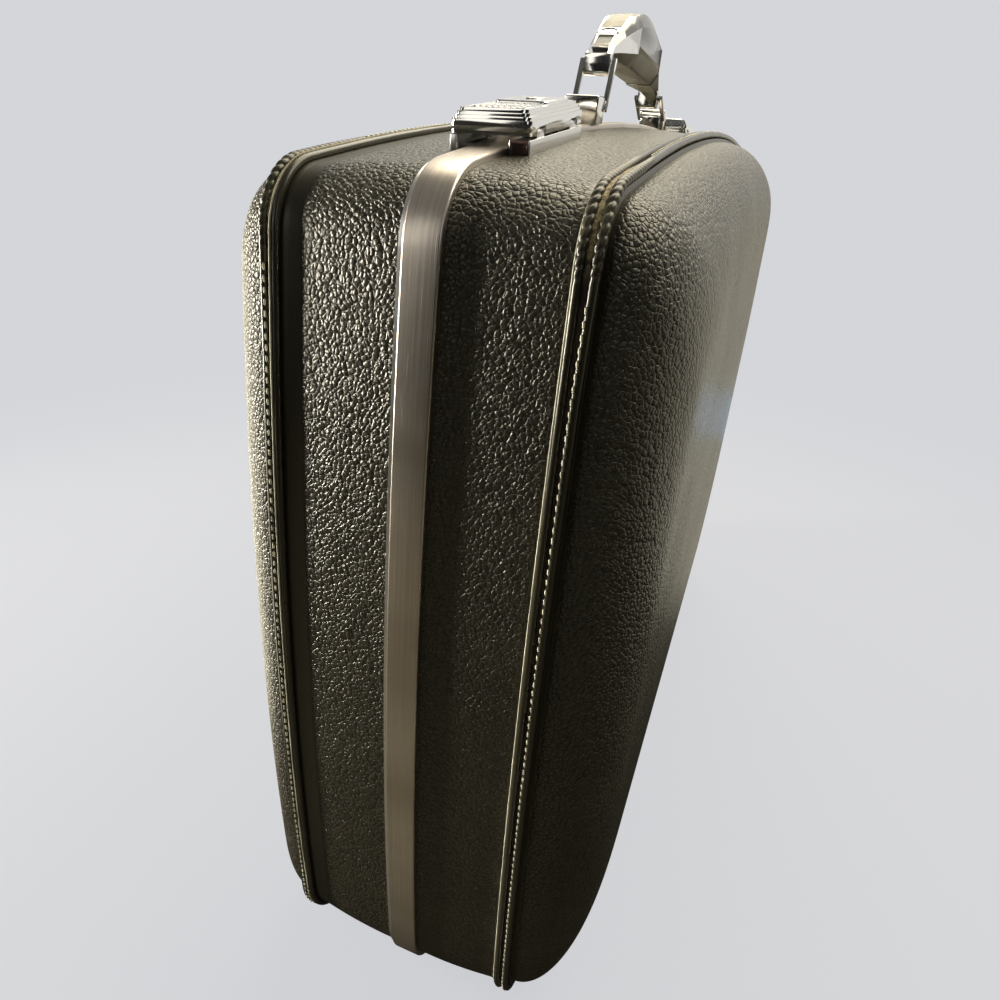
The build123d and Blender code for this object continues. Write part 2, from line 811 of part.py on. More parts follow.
def grip_pieces():
    """Caps, frame, pad and top insert of the grip, placed where the handle rests."""
    span = grip_span()
    caps = []
    for end in (-1, 1):
        if end < 0:
            cap = grip_body(-grip_overhang, cap_length, cap_stand)
            pivot, lip_y = 0.0, (-grip_overhang, lip_length)
        else:
            cap = grip_body(span - cap_length, span + grip_overhang, cap_stand)
            pivot, lip_y = span, (span - lip_length, span + grip_overhang)
        lip_half = grip_end_width / 2 + cap_stand
        lip = box((-lip_half, lip_half), lip_y, (-lip_drop, grip_underside))
        cap += fillet(lip.edges().filter_by(Axis.X).group_by(Axis.Z)[0], 2.0)
        bore = bail_pin_radius + running_gap
        if end < 0:
            cap -= cross_rod(bore, grip_width, pivot, 0.0)
        else:
            bore = bail_pin_radius + open_pivot_gap
            cap -= cross_rod(bore, grip_width, pivot - open_pivot_play, 0.0)
            cap -= cross_rod(bore, grip_width, pivot + open_pivot_play, 0.0)
            cap -= box((-grip_width, grip_width), (pivot - open_pivot_play, pivot + open_pivot_play),
                       (-bore, bore))
        caps.append(cap)
    middle = grip_body(cap_length, span - cap_length)
    split = grip_underside + pad_height
    everything = (-grip_width, grip_width)
    below = box(everything, (0, span), (-lip_drop, split))
    pad = middle & below
    frame = middle - below
    shifted = Pos(0, 0, -insert_thickness) * middle
    strip = box((-insert_width / 2, insert_width / 2), (cap_length, span - cap_length), (split, 2 * grip_rise))
    insert = (middle - shifted) & strip
    frame -= insert
    near = upper_pivot(-1)
    place = Location((0, near[0], near[1]), (grip_tilt(), 0, 0))
    return [place * piece for piece in (caps[0], caps[1], frame, pad, insert)]


# Inside fittings


def pan_floor(side):
    """Inner face of the lining at the middle of a pan."""
    return half_places(side)[4] + side * (pan_depth - pan_thickness - lining_thickness)


def tie_straps():
    """Two webbing straps that hold the clothes in the base."""
    floor = pan_floor(1)
    straps = []
    low = ground_clearance + strap_anchor_height
    high = ground_clearance + case_height - strap_anchor_height
    for y in (-strap_spacing / 2, strap_spacing / 2):
        straps.append(box((floor - fitting_gap - strap_thickness, floor - fitting_gap),
                          (y - strap_width / 2, y + strap_width / 2), (low, high)))
    return together(straps)


def tie_buckles():
    """Buckle frame on each strap."""
    floor = pan_floor(1)
    right = floor - fitting_gap - strap_thickness
    buckles = []
    for y in (-strap_spacing / 2, strap_spacing / 2):
        z = ground_clearance + buckle_height
        outer = box((right - buckle_thickness, right), (y - buckle_width / 2, y + buckle_width / 2),
                    (z - buckle_length / 2, z + buckle_length / 2))
        window_y = (y - buckle_width / 2 + buckle_bar, y + buckle_width / 2 - buckle_bar)
        outer -= box((right - 2 * buckle_thickness, right + 1), window_y,
                     (z - buckle_length / 2 + buckle_bar, z - buckle_bar / 2))
        outer -= box((right - 2 * buckle_thickness, right + 1), window_y,
                     (z + buckle_bar / 2, z + buckle_length / 2 - buckle_bar))
        buckles.append(outer)
    return together(buckles)


def lid_pocket():
    """Flat pocket panel in the lid."""
    floor = pan_floor(-1)
    low = ground_clearance + pocket_bottom
    return box((floor + fitting_gap, floor + fitting_gap + pocket_thickness + pocket_stand),
               (-pocket_width / 2, pocket_width / 2), (low, low + pocket_height))


def main():
    """Build and write every node."""
    os.makedirs("parts", exist_ok=True)
    for side, half in ((1, "base"), (-1, "lid")):
        wall = side_wall(side)
        for hole in wall_holes(side):
            wall -= hole
        write(half + "_side_wall", wall)
        write(half + "_pan", pan(side))
        write(half + "_welt", welt(side))
        write(half + "_lining", lining(side))
        write(half + "_hinge_leaves", hinge_leaves(side))
        write(half + "_hinge_rivets", hinge_rivets(side))
        write(half + "_feet", feet(side))
    write("base_frame", frame_of_base())
    write("lid_frame", frame_of_lid())
    write("band", band())
    write("hinge_pins", hinge_pins())

    pieces = {
        "latch_block": latch_block(), "latch_keeper": latch_keeper(), "latch_cover": latch_cover(),
        "latch_slide": latch_slide(), "lock_plug": lock_plug(), "latch_pin": lever_pin(),
        "latch_spring": lever_spring(),
    }
    for name, shape in pieces.items():
        near, far = both_ends(shape)
        if name == "latch_block":
            near, far = seat_on_case(near, 1), seat_on_case(far, 1)
        if name == "latch_keeper":
            near, far = seat_on_case(near, -1), seat_on_case(far, -1)
        write(name + "_near", near)
        write(name + "_far", far)

    for side, end in ((-1, "near"), (1, "far")):
        write("handle_post_" + end, post(side))
        write("handle_bail_" + end, bail(side))
    names = ("grip_cap_near", "grip_cap_far", "grip_frame", "grip_pad", "grip_insert")
    for name, shape in zip(names, grip_pieces()):
        write(name, shape)

    write("tie_straps", tie_straps())
    write("tie_buckles", tie_buckles())
    write("lid_pocket", lid_pocket())

    place = latch_place()
    print("lid hinge axis", round(hinge_x(), 3), round(hinge_z(), 3))
    print("latch place", place)
    print("lever axis", place * Location((latch_width / 2 - lever_axis_inset, 0, lever_axis_height)))
    print("lock axis", place * Location((0, plug_y(), cover_top())))
    print("lower pivots", round(pivot_spacing / 2, 3), round(pivot_z(), 3))
    print("upper pivots", upper_pivot(-1), upper_pivot(1))
    print("grip span and tilt", round(grip_span(), 3), round(grip_tilt(), 3))


main()
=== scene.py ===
import math

import bmesh
import bpy
import numpy as np
from mathutils import Matrix, Vector


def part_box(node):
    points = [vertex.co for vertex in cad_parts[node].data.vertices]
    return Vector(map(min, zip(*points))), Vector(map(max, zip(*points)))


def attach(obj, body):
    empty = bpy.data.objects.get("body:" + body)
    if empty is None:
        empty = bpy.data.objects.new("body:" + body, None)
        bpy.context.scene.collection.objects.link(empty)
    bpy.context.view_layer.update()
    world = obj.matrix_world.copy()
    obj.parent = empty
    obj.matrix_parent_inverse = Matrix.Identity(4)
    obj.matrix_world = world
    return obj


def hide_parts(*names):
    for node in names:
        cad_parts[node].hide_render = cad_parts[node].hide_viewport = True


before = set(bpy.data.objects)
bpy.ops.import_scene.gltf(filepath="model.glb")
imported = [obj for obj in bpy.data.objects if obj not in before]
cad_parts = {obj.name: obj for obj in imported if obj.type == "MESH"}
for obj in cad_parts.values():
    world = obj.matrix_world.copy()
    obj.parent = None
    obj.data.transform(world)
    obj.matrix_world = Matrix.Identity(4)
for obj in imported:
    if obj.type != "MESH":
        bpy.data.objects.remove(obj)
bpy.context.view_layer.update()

bl_info = {
    "name": "Hard-shell suitcase",
    "version": (1, 0, 0),
    "blender": (4, 5, 0),
    "location": "3D View > Sidebar > Suitcase",
    "description": "Dresses the packed suitcase in grained vinyl, piping, brushed steel and chrome",
    "category": "Object",
}

# Sizes of the solids, in millimetres. X is shifted so that the whole thickness is centred.
MM = 0.001
SHIFT = 3.65
CASE_LENGTH, CASE_HEIGHT = 640.0, 470.0
END_BULGE, TOP_CROWN = 12.3, 20.8
TOP_CORNER, BOTTOM_CORNER = 28.0, 49.0
GROUND = 12.0
WALL_TAPER, WALL_THICKNESS = 3.6, 3.0
BASE_DEPTH, LID_DEPTH = 58.1, 65.4
WELT_WIDTH = 9.0
PAN_STEP, PAN_THICKNESS, PAN_DEPTH = 2.0, 3.0, 37.5
SHOULDER, CROWN_WIDTH, CROWN_RISE, CORNER_GROWTH = 60.0, 80.0, 3.0, 0.25
BAND_WIDTH, BAND_STAND, BAND_ROLL = 16.5, 3.0, 1.2
JOINT_GAP, RIM_WIDTH = 0.4, 1.6
LEG_LENGTH = 11.4
HINGE_SPACING, HINGE_HALF = 300.0, 21.0
LATCH_Y, LATCH_HALF_X, LATCH_HALF_Y = 224.0, 18.3, 40.5

# The welt, in millimetres: its height, and the stretches before and after the middle of the worn corner.
WELT_RISE, SEAM_OPENING = 2.3, 1.0
FINE_BEFORE, FINE_AFTER = 110.0, 46.0
UNSTITCHED_BEFORE, UNSTITCHED_AFTER = 75.0, 29.0
STITCH_SLANT = 0.10

MID_Z = CASE_HEIGHT / 2
END_RADIUS = (MID_Z ** 2 + END_BULGE ** 2) / (2 * END_BULGE)
TOP_RADIUS = ((CASE_LENGTH / 2) ** 2 + TOP_CROWN ** 2) / (2 * TOP_CROWN)
END_CENTRE_Y = CASE_LENGTH / 2 + END_BULGE - END_RADIUS
TOP_CENTRE_Z = CASE_HEIGHT + TOP_CROWN - TOP_RADIUS
BAND_LEFT, BAND_RIGHT = -BAND_WIDTH / 2, BAND_WIDTH / 2
LID_JOINT = BAND_LEFT - JOINT_GAP


# Settings


def length_property(name, description, default):
    """A size in metres, shown with its unit."""
    return bpy.props.FloatProperty(name=name, description=description, default=default, min=0.0,
                                   unit="LENGTH", precision=5)


def colour_property(name, description, default):
    """A colour in linear light."""
    return bpy.props.FloatVectorProperty(name=name, description=description, default=default, min=0.0,
                                         max=1.0, size=3, subtype="COLOR")


def power_property(name, description, default):
    """A lamp's power in watts."""
    return bpy.props.FloatProperty(name=name, description=description, default=default, min=0.0, unit="POWER")


def glow_property(name, description, default):
    """Brightness of a glowing surface."""
    return bpy.props.FloatProperty(name=name, description=description, default=default, min=0.0)


def share_property(name, description, default):
    """A number from nought to one."""
    return bpy.props.FloatProperty(name=name, description=description, default=default, min=0.0, max=1.0,
                                   subtype="FACTOR")


class SuitcaseShell(bpy.types.PropertyGroup):
    """Sizes of the vinyl skins, the piping and the stitching."""
    puff: length_property("Wall puff", "How far the side walls swell between band and welt", 0.0011)
    cove: length_property("Cove", "How far the wall flares up to the welt", 0.0010)
    pebble: length_property("Pebble size", "Width of one pebble of the grain", 0.0023)
    grain_depth: length_property("Grain depth", "Depth of the creases in the grain", 0.0009)
    piping_radius: length_property("Piping radius", "Radius of each roll of the welt", 0.0018)
    bead_pitch: length_property("Pucker spacing", "Spacing of the puckers at the worn corners", 0.0040)
    stitch_pitch: length_property("Stitch spacing", "Distance from one stitch to the next", 0.0048)
    stitch_length: length_property("Stitch length", "Length of one stitch", 0.0032)
    stitch_radius: length_property("Thread radius", "Half the thickness of the thread", 0.00056)


class SuitcaseColours(bpy.types.PropertyGroup):
    """Colours of the finishes."""
    # The crease colour is painted shade: the grain's creases are painted darker than its tops.
    vinyl: colour_property("Vinyl", "Tops of the grain", (0.036, 0.032, 0.0185))
    vinyl_crease_shade: colour_property("Vinyl creases", "Creases of the grain", (0.006, 0.0055, 0.0035))
    core: colour_property("Worn core", "Filler seen where the piping has worn open", (0.52, 0.42, 0.22))
    thread: colour_property("Thread", "Stitching", (0.86, 0.82, 0.62))
    steel: colour_property("Band steel", "Brushed band", (0.62, 0.56, 0.49))
    chrome: colour_property("Chrome", "Latches and handle fittings", (0.80, 0.79, 0.76))
    olive: colour_property("Olive panel", "Top panel of the grip", (0.175, 0.155, 0.075))
    grip: colour_property("Grip", "Underside of the grip", (0.125, 0.108, 0.056))
    lining: colour_property("Lining", "Woven lining", (0.42, 0.34, 0.19))


class SuitcaseStage(bpy.types.PropertyGroup):
    """Light, floor and background."""
    pale: colour_property("Background", "Floor and background", (0.66, 0.67, 0.70))
    world: share_property("Surround light", "Light that comes from all round", 0.55)
    overhead: power_property("Overhead light", "Strength of the large overhead lamp", 50.0)
    key: power_property("Left light", "Strength of the lamp at the left", 56.0)
    glint: power_property("Glint light", "Strength of the lamp high at the right", 3.2)
    window: glow_property("Window glow", "Brightness of the bluish patch mirrored in the base's face", 2.2)
    cards: glow_property("Card glow", "Brightness of the cards mirrored in the chrome", 1.35)


# Surfaces of the case


def half_arcs(offset, extra):
    """Arcs of half the side outline when it is moved outward by offset.
    The corner arcs touch the end arc and the top arc, so their centres lie where circles smaller by the
    corner's radius meet."""
    grow = np.maximum(offset, 0.0) + extra
    end_r, top_r = END_RADIUS + offset, TOP_RADIUS + offset
    high_r, low_r = TOP_CORNER + grow, BOTTOM_CORNER + grow
    dy, dz = -END_CENTRE_Y, TOP_CENTRE_Z - MID_Z
    span = math.hypot(dy, dz)
    along = ((end_r - high_r) ** 2 - (top_r - high_r) ** 2 + span ** 2) / (2 * span)
    across = np.sqrt((end_r - high_r) ** 2 - along ** 2)
    high_y = END_CENTRE_Y + (along * dy - across * dz) / span
    high_z = MID_Z + (along * dz + across * dy) / span
    low_z = low_r - offset
    low_y = END_CENTRE_Y + np.sqrt((end_r - low_r) ** 2 - (low_z - MID_Z) ** 2)
    low_angle = np.arctan2(low_z - MID_Z, low_y - END_CENTRE_Y)
    high_angle = np.arctan2(high_z - MID_Z, high_y - END_CENTRE_Y)
    top_angle = np.arctan2(high_z - TOP_CENTRE_Z, high_y)
    quarter = math.pi / 2
    return (
        (low_y, low_z, low_r, -quarter + 0 * low_angle, low_angle),
        (END_CENTRE_Y, MID_Z, end_r, low_angle, high_angle),
        (high_y, high_z, high_r, high_angle, top_angle),
        (0.0, TOP_CENTRE_Z, top_r, top_angle, quarter),
    )


def half_breaks():
    """Distances along half the outline at which its line and arcs end."""
    arcs = half_arcs(0.0, 0.0)
    lengths = [arcs[0][0]] + [radius * (stop - start) for _, _, radius, start, stop in arcs]
    return np.concatenate([[0.0], np.cumsum(lengths)])


BREAKS = half_breaks()
HALF_ROUND = float(BREAKS[-1])
ROUND = 2 * HALF_ROUND
NEAR_TOP_CORNER = ROUND - float(BREAKS[3] + BREAKS[4]) / 2


def outline(s, offset, extra=0.0):
    """Points (y, z) and outward directions of the outline at the distances s round the case.
    s starts in the middle of the bottom, climbs the far end, crosses the top and comes down the near end.
    Each stretch is a straight line or an arc: centre plus radius times (cos, sin) of an angle that grows
    evenly, so outlines moved by different offsets match point for point."""
    offset, extra = np.asarray(offset, float), np.asarray(extra, float)
    shape = np.broadcast(offset, extra, s).shape
    s = np.mod(s, ROUND)
    half = np.where(s <= HALF_ROUND, s, ROUND - s)
    sign = np.where(s <= HALF_ROUND, 1.0, -1.0)
    y, z, ny, nz = (np.zeros(shape) for _ in range(4))
    for k, arc in enumerate((None,) + half_arcs(offset, extra)):
        inside = (half >= BREAKS[k]) & (half <= BREAKS[k + 1] + 1e-9)
        share = (half - BREAKS[k]) / (BREAKS[k + 1] - BREAKS[k])
        if arc is None:
            low_y = half_arcs(offset, extra)[0][0]
            values = (low_y * share, -offset + 0 * share, 0 * share, -1 + 0 * share)
        else:
            centre_y, centre_z, radius, start, stop = arc
            angle = start + (stop - start) * share
            values = (centre_y + radius * np.cos(angle), centre_z + radius * np.sin(angle), np.cos(angle),
                      np.sin(angle))
        inside = np.broadcast_to(inside, shape)
        for target, value in zip((y, z, ny, nz), values):
            target[inside] = np.broadcast_to(value, shape)[inside]
    return sign * y, z + GROUND, sign * ny, nz


def places_round(step=6.0, corner_step=2.6, fine=()):
    """Distances round the case at which a hoop has its columns: closer on the corners, and closer still on
    each stretch of fine, given as start, end and step."""
    half = []
    for k in range(5):
        spacing = corner_step if k in (1, 3) else step
        count = max(int(round((BREAKS[k + 1] - BREAKS[k]) / spacing)), 2)
        half.append(np.linspace(BREAKS[k], BREAKS[k + 1], count, endpoint=False))
    half = np.concatenate(half + [[HALF_ROUND]])
    s = np.concatenate([half, (ROUND - half[1:-1])[::-1]])
    for start, end, spacing in fine:
        s = np.concatenate([s[(s < start) | (s > end)], np.arange(start, end, spacing)])
    return np.sort(s)


def case_points(x, s, offset, extra=0.0):
    """Points in metres of the surface whose section across the thickness is the line (x, offset)."""
    y, z, _, _ = outline(s, offset, extra)
    x = np.broadcast_to(x, y.shape)
    return np.stack([x + SHIFT, y, z], -1) * MM


def smooth_step(value, low, high):
    """0 below low, 1 above high, and an S-shaped cubic between them."""
    t = np.clip((value - low) / (high - low), 0.0, 1.0)
    return t * t * (3 - 2 * t)


# Meshes


def run_along(points):
    """Distances along a line of points from its first."""
    return np.concatenate([[0.0], np.cumsum(np.linalg.norm(np.diff(points, axis=0), axis=1))])


def round_angles(count):
    """Evenly spaced angles once round."""
    return np.linspace(0, 2 * math.pi, count, endpoint=False)


def unit(vectors):
    """Vectors made one long."""
    return vectors / np.linalg.norm(vectors, axis=1)[:, None]


def cell_corners(grid):
    """The four corners of every cell of a grid, in order round the cell."""
    cells = np.stack([grid[:-1, :-1], grid[:-1, 1:], grid[1:, 1:], grid[1:, :-1]], 2)
    return cells.reshape(-1, 4, *grid.shape[2:])


def read(items, key, size):
    """A property of every vertex or face of a mesh, one row each."""
    values = np.empty(len(items) * size, np.float32)
    items.foreach_get(key, values)
    return values.reshape(-1, size)


def fill_mesh(name, points, faces, uvs=None, attributes=None, sharp=None):
    """Object made of points and of faces with equal numbers of corners, given as a list of index arrays.
    Faces are turned outward where the volume that they enclose comes out negative."""
    volume = 0.0
    for face in faces:
        corners = points[face]
        for k in range(1, face.shape[1] - 1):
            volume += np.einsum("ij,ij->", corners[:, 0], np.cross(corners[:, k], corners[:, k + 1]))
    if volume < 0:
        faces = [face[:, ::-1] for face in faces]
        uvs = None if uvs is None else [uv[:, ::-1] for uv in uvs]
    corner_index = np.concatenate([face.ravel() for face in faces]).astype(np.int32)
    sizes = np.concatenate([np.full(len(face), face.shape[1]) for face in faces])
    starts = np.concatenate([[0], np.cumsum(sizes)[:-1]]).astype(np.int32)
    mesh = bpy.data.meshes.new(name)
    mesh.vertices.add(len(points))
    mesh.vertices.foreach_set("co", np.ascontiguousarray(points, np.float32).ravel())
    mesh.loops.add(len(corner_index))
    mesh.loops.foreach_set("vertex_index", corner_index)
    mesh.polygons.add(len(starts))
    mesh.polygons.foreach_set("loop_start", starts)
    mesh.polygons.foreach_set("use_smooth", np.ones(len(starts), bool))
    mesh.update(calc_edges=True)
    if uvs is not None:
        layer = mesh.uv_layers.new(name="UVMap")
        layer.data.foreach_set("uv", np.concatenate([uv.reshape(-1) for uv in uvs]).astype(np.float32))
    for key, values in (attributes or {}).items():
        layer = mesh.attributes.new(key, "FLOAT", "POINT")
        layer.data.foreach_set("value", np.ascontiguousarray(values, np.float32).ravel())
    if sharp is not None:
        mesh.set_sharp_from_angle(angle=math.radians(sharp))
    piece = bpy.data.objects.new(name, mesh)
    bpy.context.scene.collection.objects.link(piece)
    return piece


def lattice(name, points, around=True, profile=False, poles=(False, False), u=None, v=None,
            attributes=None, sharp=None):
    """Surface over a grid of points: rows along the profile, columns round the piece.
    around joins the last column to the first, profile joins the last row to the first, and each pole closes
    an end row to its middle."""
    rows, columns = points.shape[:2]
    index = np.arange(rows * columns).reshape(rows, columns)
    if profile:
        index = np.vstack([index, index[:1]])
    if around:
        index = np.hstack([index, index[:, :1]])
    u = np.arange(index.shape[1], dtype=float) if u is None else u
    v = np.arange(index.shape[0], dtype=float) if v is None else v
    uvs = [cell_corners(np.stack(np.meshgrid(u, v), -1))]
    verts = [points.reshape(-1, 3)]
    faces = [cell_corners(index)]
    extra = {key: [np.broadcast_to(value, (rows, columns)).ravel()]
             for key, value in (attributes or {}).items()}
    for wanted, row, turned in ((poles[0], 0, True), (poles[1], rows - 1, False)):
        if not wanted:
            continue
        ring = np.arange(columns) + row * columns
        after = np.roll(ring, -1)
        centre = sum(len(block) for block in verts)
        verts.append(points[row].mean(0)[None])
        order = (after, ring) if turned else (ring, after)
        faces.append(np.stack([order[0], order[1], np.full(columns, centre)], -1))
        uvs.append(np.full((columns, 3, 2), (0.0, v[row])))
        for key in extra:
            extra[key].append(extra[key][0][ring[:1]])
    extra = {key: np.concatenate(value) for key, value in extra.items()}
    return fill_mesh(name, np.concatenate(verts), faces, uvs, extra, sharp)


def hoop(name, x, offset, s, extra=0.0, attributes=None, poles=(False, False), profile=True, sharp=None):
    """Closed hoop round the case, with its section given by x and offset, one row each."""
    points = case_points(x, s, offset, extra)
    v = run_along(points[:, 0])
    if profile:
        v = np.append(v, v[-1] + np.linalg.norm(points[-1, 0] - points[0, 0]))
    u = np.append(s, ROUND) * MM
    return lattice(name, points, True, profile, poles, u, v, attributes, sharp)


def bead_shape(length, radius, rings=5, sides=6):
    """Small rounded bar along its first axis: the radius follows an ellipse raised to a low power."""
    t = np.linspace(-1, 1, rings + 2)[1:-1]
    size = radius * (1 - np.abs(t) ** 3.0) ** 0.5
    angle = round_angles(sides)
    ring = np.stack([np.broadcast_to((t * length / 2)[:, None], (rings, sides)),
                     size[:, None] * np.cos(angle), size[:, None] * np.sin(angle)], -1).reshape(-1, 3)
    points = np.vstack([ring, [[-length / 2, 0, 0]], [[length / 2, 0, 0]]])
    index = np.arange(rings * sides).reshape(rings, sides)
    index = np.hstack([index, index[:, :1]])
    first, last = index[0], index[-1]
    low = np.stack([first[1:], first[:-1], np.full(sides, rings * sides)], -1)
    high = np.stack([last[:-1], last[1:], np.full(sides, rings * sides + 1)], -1)
    return points, [cell_corners(index), low, high]


def bars(name, length, radius, origins, ahead, rings=5, sides=6):
    """Small rounded bars lying in the directions ahead. Each bar's point is its origin plus the shape's
    coordinates times three axes: ahead, and two square to it, the last also square to the thickness."""
    shape, shape_faces = bead_shape(length, radius, rings, sides)
    out = unit(np.cross(ahead, (1.0, 0.0, 0.0)))
    axes = np.stack([ahead, np.cross(out, ahead), out], 1)
    points = origins[:, None, :] + np.einsum("pk,nkc->npc", shape, axes)
    offsets = (np.arange(len(origins)) * len(shape))[:, None, None]
    faces = [(face[None] + offsets).reshape(-1, face.shape[1]) for face in shape_faces]
    return fill_mesh(name, points.reshape(-1, 3), faces)


def give(piece, body, material, *nodes, slot=None):
    """Give a piece its material and body, and hide the nodes that it stands for."""
    piece.data.materials.clear()
    piece.data.materials.append(material)
    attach(piece, body)
    if nodes:
        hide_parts(*nodes)
    return piece


def refined(node, name, bevel=0.35, angle=32.0):
    """Copy of a node with its triangles merged into flat faces and its edges softly rounded."""
    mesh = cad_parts[node].data.copy()
    work = bmesh.new()
    work.from_mesh(mesh)
    bmesh.ops.remove_doubles(work, verts=work.verts, dist=1e-6)
    bmesh.ops.dissolve_limit(work, angle_limit=math.radians(1.5), verts=work.verts, edges=work.edges)
    bmesh.ops.recalc_face_normals(work, faces=work.faces)
    work.to_mesh(mesh)
    work.free()
    mesh.name = name
    mesh.polygons.foreach_set("use_smooth", np.ones(len(mesh.polygons), bool))
    piece = bpy.data.objects.new(name, mesh)
    bpy.context.scene.collection.objects.link(piece)
    soft = piece.modifiers.new("Rounded edges", "BEVEL")
    soft.width = bevel * MM
    soft.segments = 2
    soft.limit_method = "ANGLE"
    soft.angle_limit = math.radians(angle)
    soft.harden_normals = True
    return piece


# Shaders


class Value:
    """A shader socket, or a number, on which Python's operators add Math nodes."""

    def __init__(self, paint, socket):
        self.paint = paint
        self.socket = socket

    def math(self, operation, *others):
        """One Math node on this value and the others."""
        inputs = {i: other for i, other in enumerate((self,) + others)}
        return self.paint.node("ShaderNodeMath", {"operation": operation}, inputs)

    def __add__(self, other):
        return self.math("ADD", other)

    def __mul__(self, other):
        return self.math("MULTIPLY", other)

    def __sub__(self, other):
        return self.math("SUBTRACT", other)

    def __pow__(self, other):
        return self.math("POWER", other)

    def __rsub__(self, other):
        return self.paint.node("ShaderNodeMath", {"operation": "SUBTRACT"}, {0: other, 1: self})

    __radd__ = __add__
    __rmul__ = __mul__

    def steps(self, low, high, to_low=0.0, to_high=1.0):
        """S-shaped change from to_low to to_high as this value goes from low to high."""
        settings = {"interpolation_type": "SMOOTHSTEP", "clamp": True}
        return self.paint.node("ShaderNodeMapRange", settings,
                               {"Value": self, "From Min": low, "From Max": high, "To Min": to_low,
                                "To Max": to_high})


def opaque(colour):
    """A colour with its fourth channel, or a link as it is."""
    return colour if isinstance(colour, Value) else (*colour, 1.0)


class Paint:
    """One material being put together."""

    def __init__(self, name, owner=None):
        self.material = owner or bpy.data.materials.new(name)
        self.material.use_nodes = True
        self.tree = self.material.node_tree
        self.tree.nodes.clear()

    def node(self, kind, settings=None, inputs=None, out=0):
        """Any node: its settings first, then the values or links of its sockets."""
        made = self.tree.nodes.new(kind)
        for key, value in (settings or {}).items():
            setattr(made, key, value)
        for key, value in (inputs or {}).items():
            socket = made.inputs[key]
            if isinstance(value, Value):
                self.tree.links.new(value.socket, socket)
            else:
                socket.default_value = value
        return Value(self, made.outputs[out]) if made.outputs else None

    def place(self):
        """Object coordinates, in metres."""
        return self.node("ShaderNodeTexCoord", out="Object")

    def sheet(self, across=1.0, along=1.0):
        """The piece's own UV map, stretched."""
        uv = self.node("ShaderNodeUVMap", {"uv_map": "UVMap"})
        return self.node("ShaderNodeVectorMath", {"operation": "MULTIPLY"}, {0: uv, 1: (across, along, 1.0)})

    def attribute(self, name):
        """A number that the mesh carries at its points."""
        return self.node("ShaderNodeAttribute", {"attribute_name": name}, out="Fac")

    def noise(self, vector, scale, detail=3.0, roughness=0.5):
        """Cloudy noise from 0 to 1."""
        inputs = {"Vector": vector, "Scale": scale, "Detail": detail, "Roughness": roughness}
        return self.node("ShaderNodeTexNoise", {}, inputs, "Fac")

    def shifted(self, vector, scale, amount):
        """A vector moved about by coloured noise."""
        noise = self.node("ShaderNodeTexNoise", {}, {"Vector": vector, "Scale": scale, "Detail": 2.0}, "Color")
        centred = self.node("ShaderNodeVectorMath", {"operation": "SUBTRACT"}, {0: noise, 1: (0.5, 0.5, 0.5)})
        scaled = self.node("ShaderNodeVectorMath", {"operation": "SCALE"}, {0: centred, "Scale": amount})
        return self.node("ShaderNodeVectorMath", {"operation": "ADD"}, {0: vector, 1: scaled})

    def cells(self, vector, scale, feature="DISTANCE_TO_EDGE"):
        """Cell pattern: distance to the nearest edge or centre."""
        return self.node("ShaderNodeTexVoronoi", {"feature": feature}, {"Vector": vector, "Scale": scale},
                         "Distance")

    def axis(self, vector, name):
        """One coordinate of a vector."""
        return self.node("ShaderNodeSeparateXYZ", {}, {0: vector}, name)

    def blend(self, low, high, share):
        """Colour between two colours."""
        return self.node("ShaderNodeMix", {"data_type": "RGBA"}, {0: share, 6: opaque(low), 7: opaque(high)}, 2)

    def bump(self, height, distance):
        """Normal from a height in units of distance."""
        return self.node("ShaderNodeBump", {}, {"Height": height, "Distance": distance, "Strength": 1.0})

    def matt(self, colour):
        """Matt surface."""
        return self.node("ShaderNodeBsdfDiffuse", {}, {"Color": opaque(colour)})

    def glow(self, colour, strength=1.0):
        """Glowing surface."""
        return self.node("ShaderNodeEmission", {}, {"Color": opaque(colour), "Strength": strength})

    def ray(self, kind):
        """1 where the light path is of the kind, such as Is Camera Ray."""
        return self.node("ShaderNodeLightPath", out=kind)

    def mix(self, share, low, high):
        """Shader between two shaders."""
        return self.node("ShaderNodeMixShader", {}, {0: share, 1: low, 2: high})

    def close(self, shader, kind="Material"):
        """Put a shader on the output, and return the material."""
        self.node("ShaderNodeOutput" + kind, {}, {"Surface": shader})
        return self.material

    def finish(self, **inputs):
        """Principled shader with the given sockets."""
        named = {key.replace("_", " "): value for key, value in inputs.items()}
        return self.close(self.node("ShaderNodeBsdfPrincipled", {}, named))


def scaled(colour, factor):
    """A colour made lighter or darker."""
    return tuple(min(channel * factor, 1.0) for channel in colour)


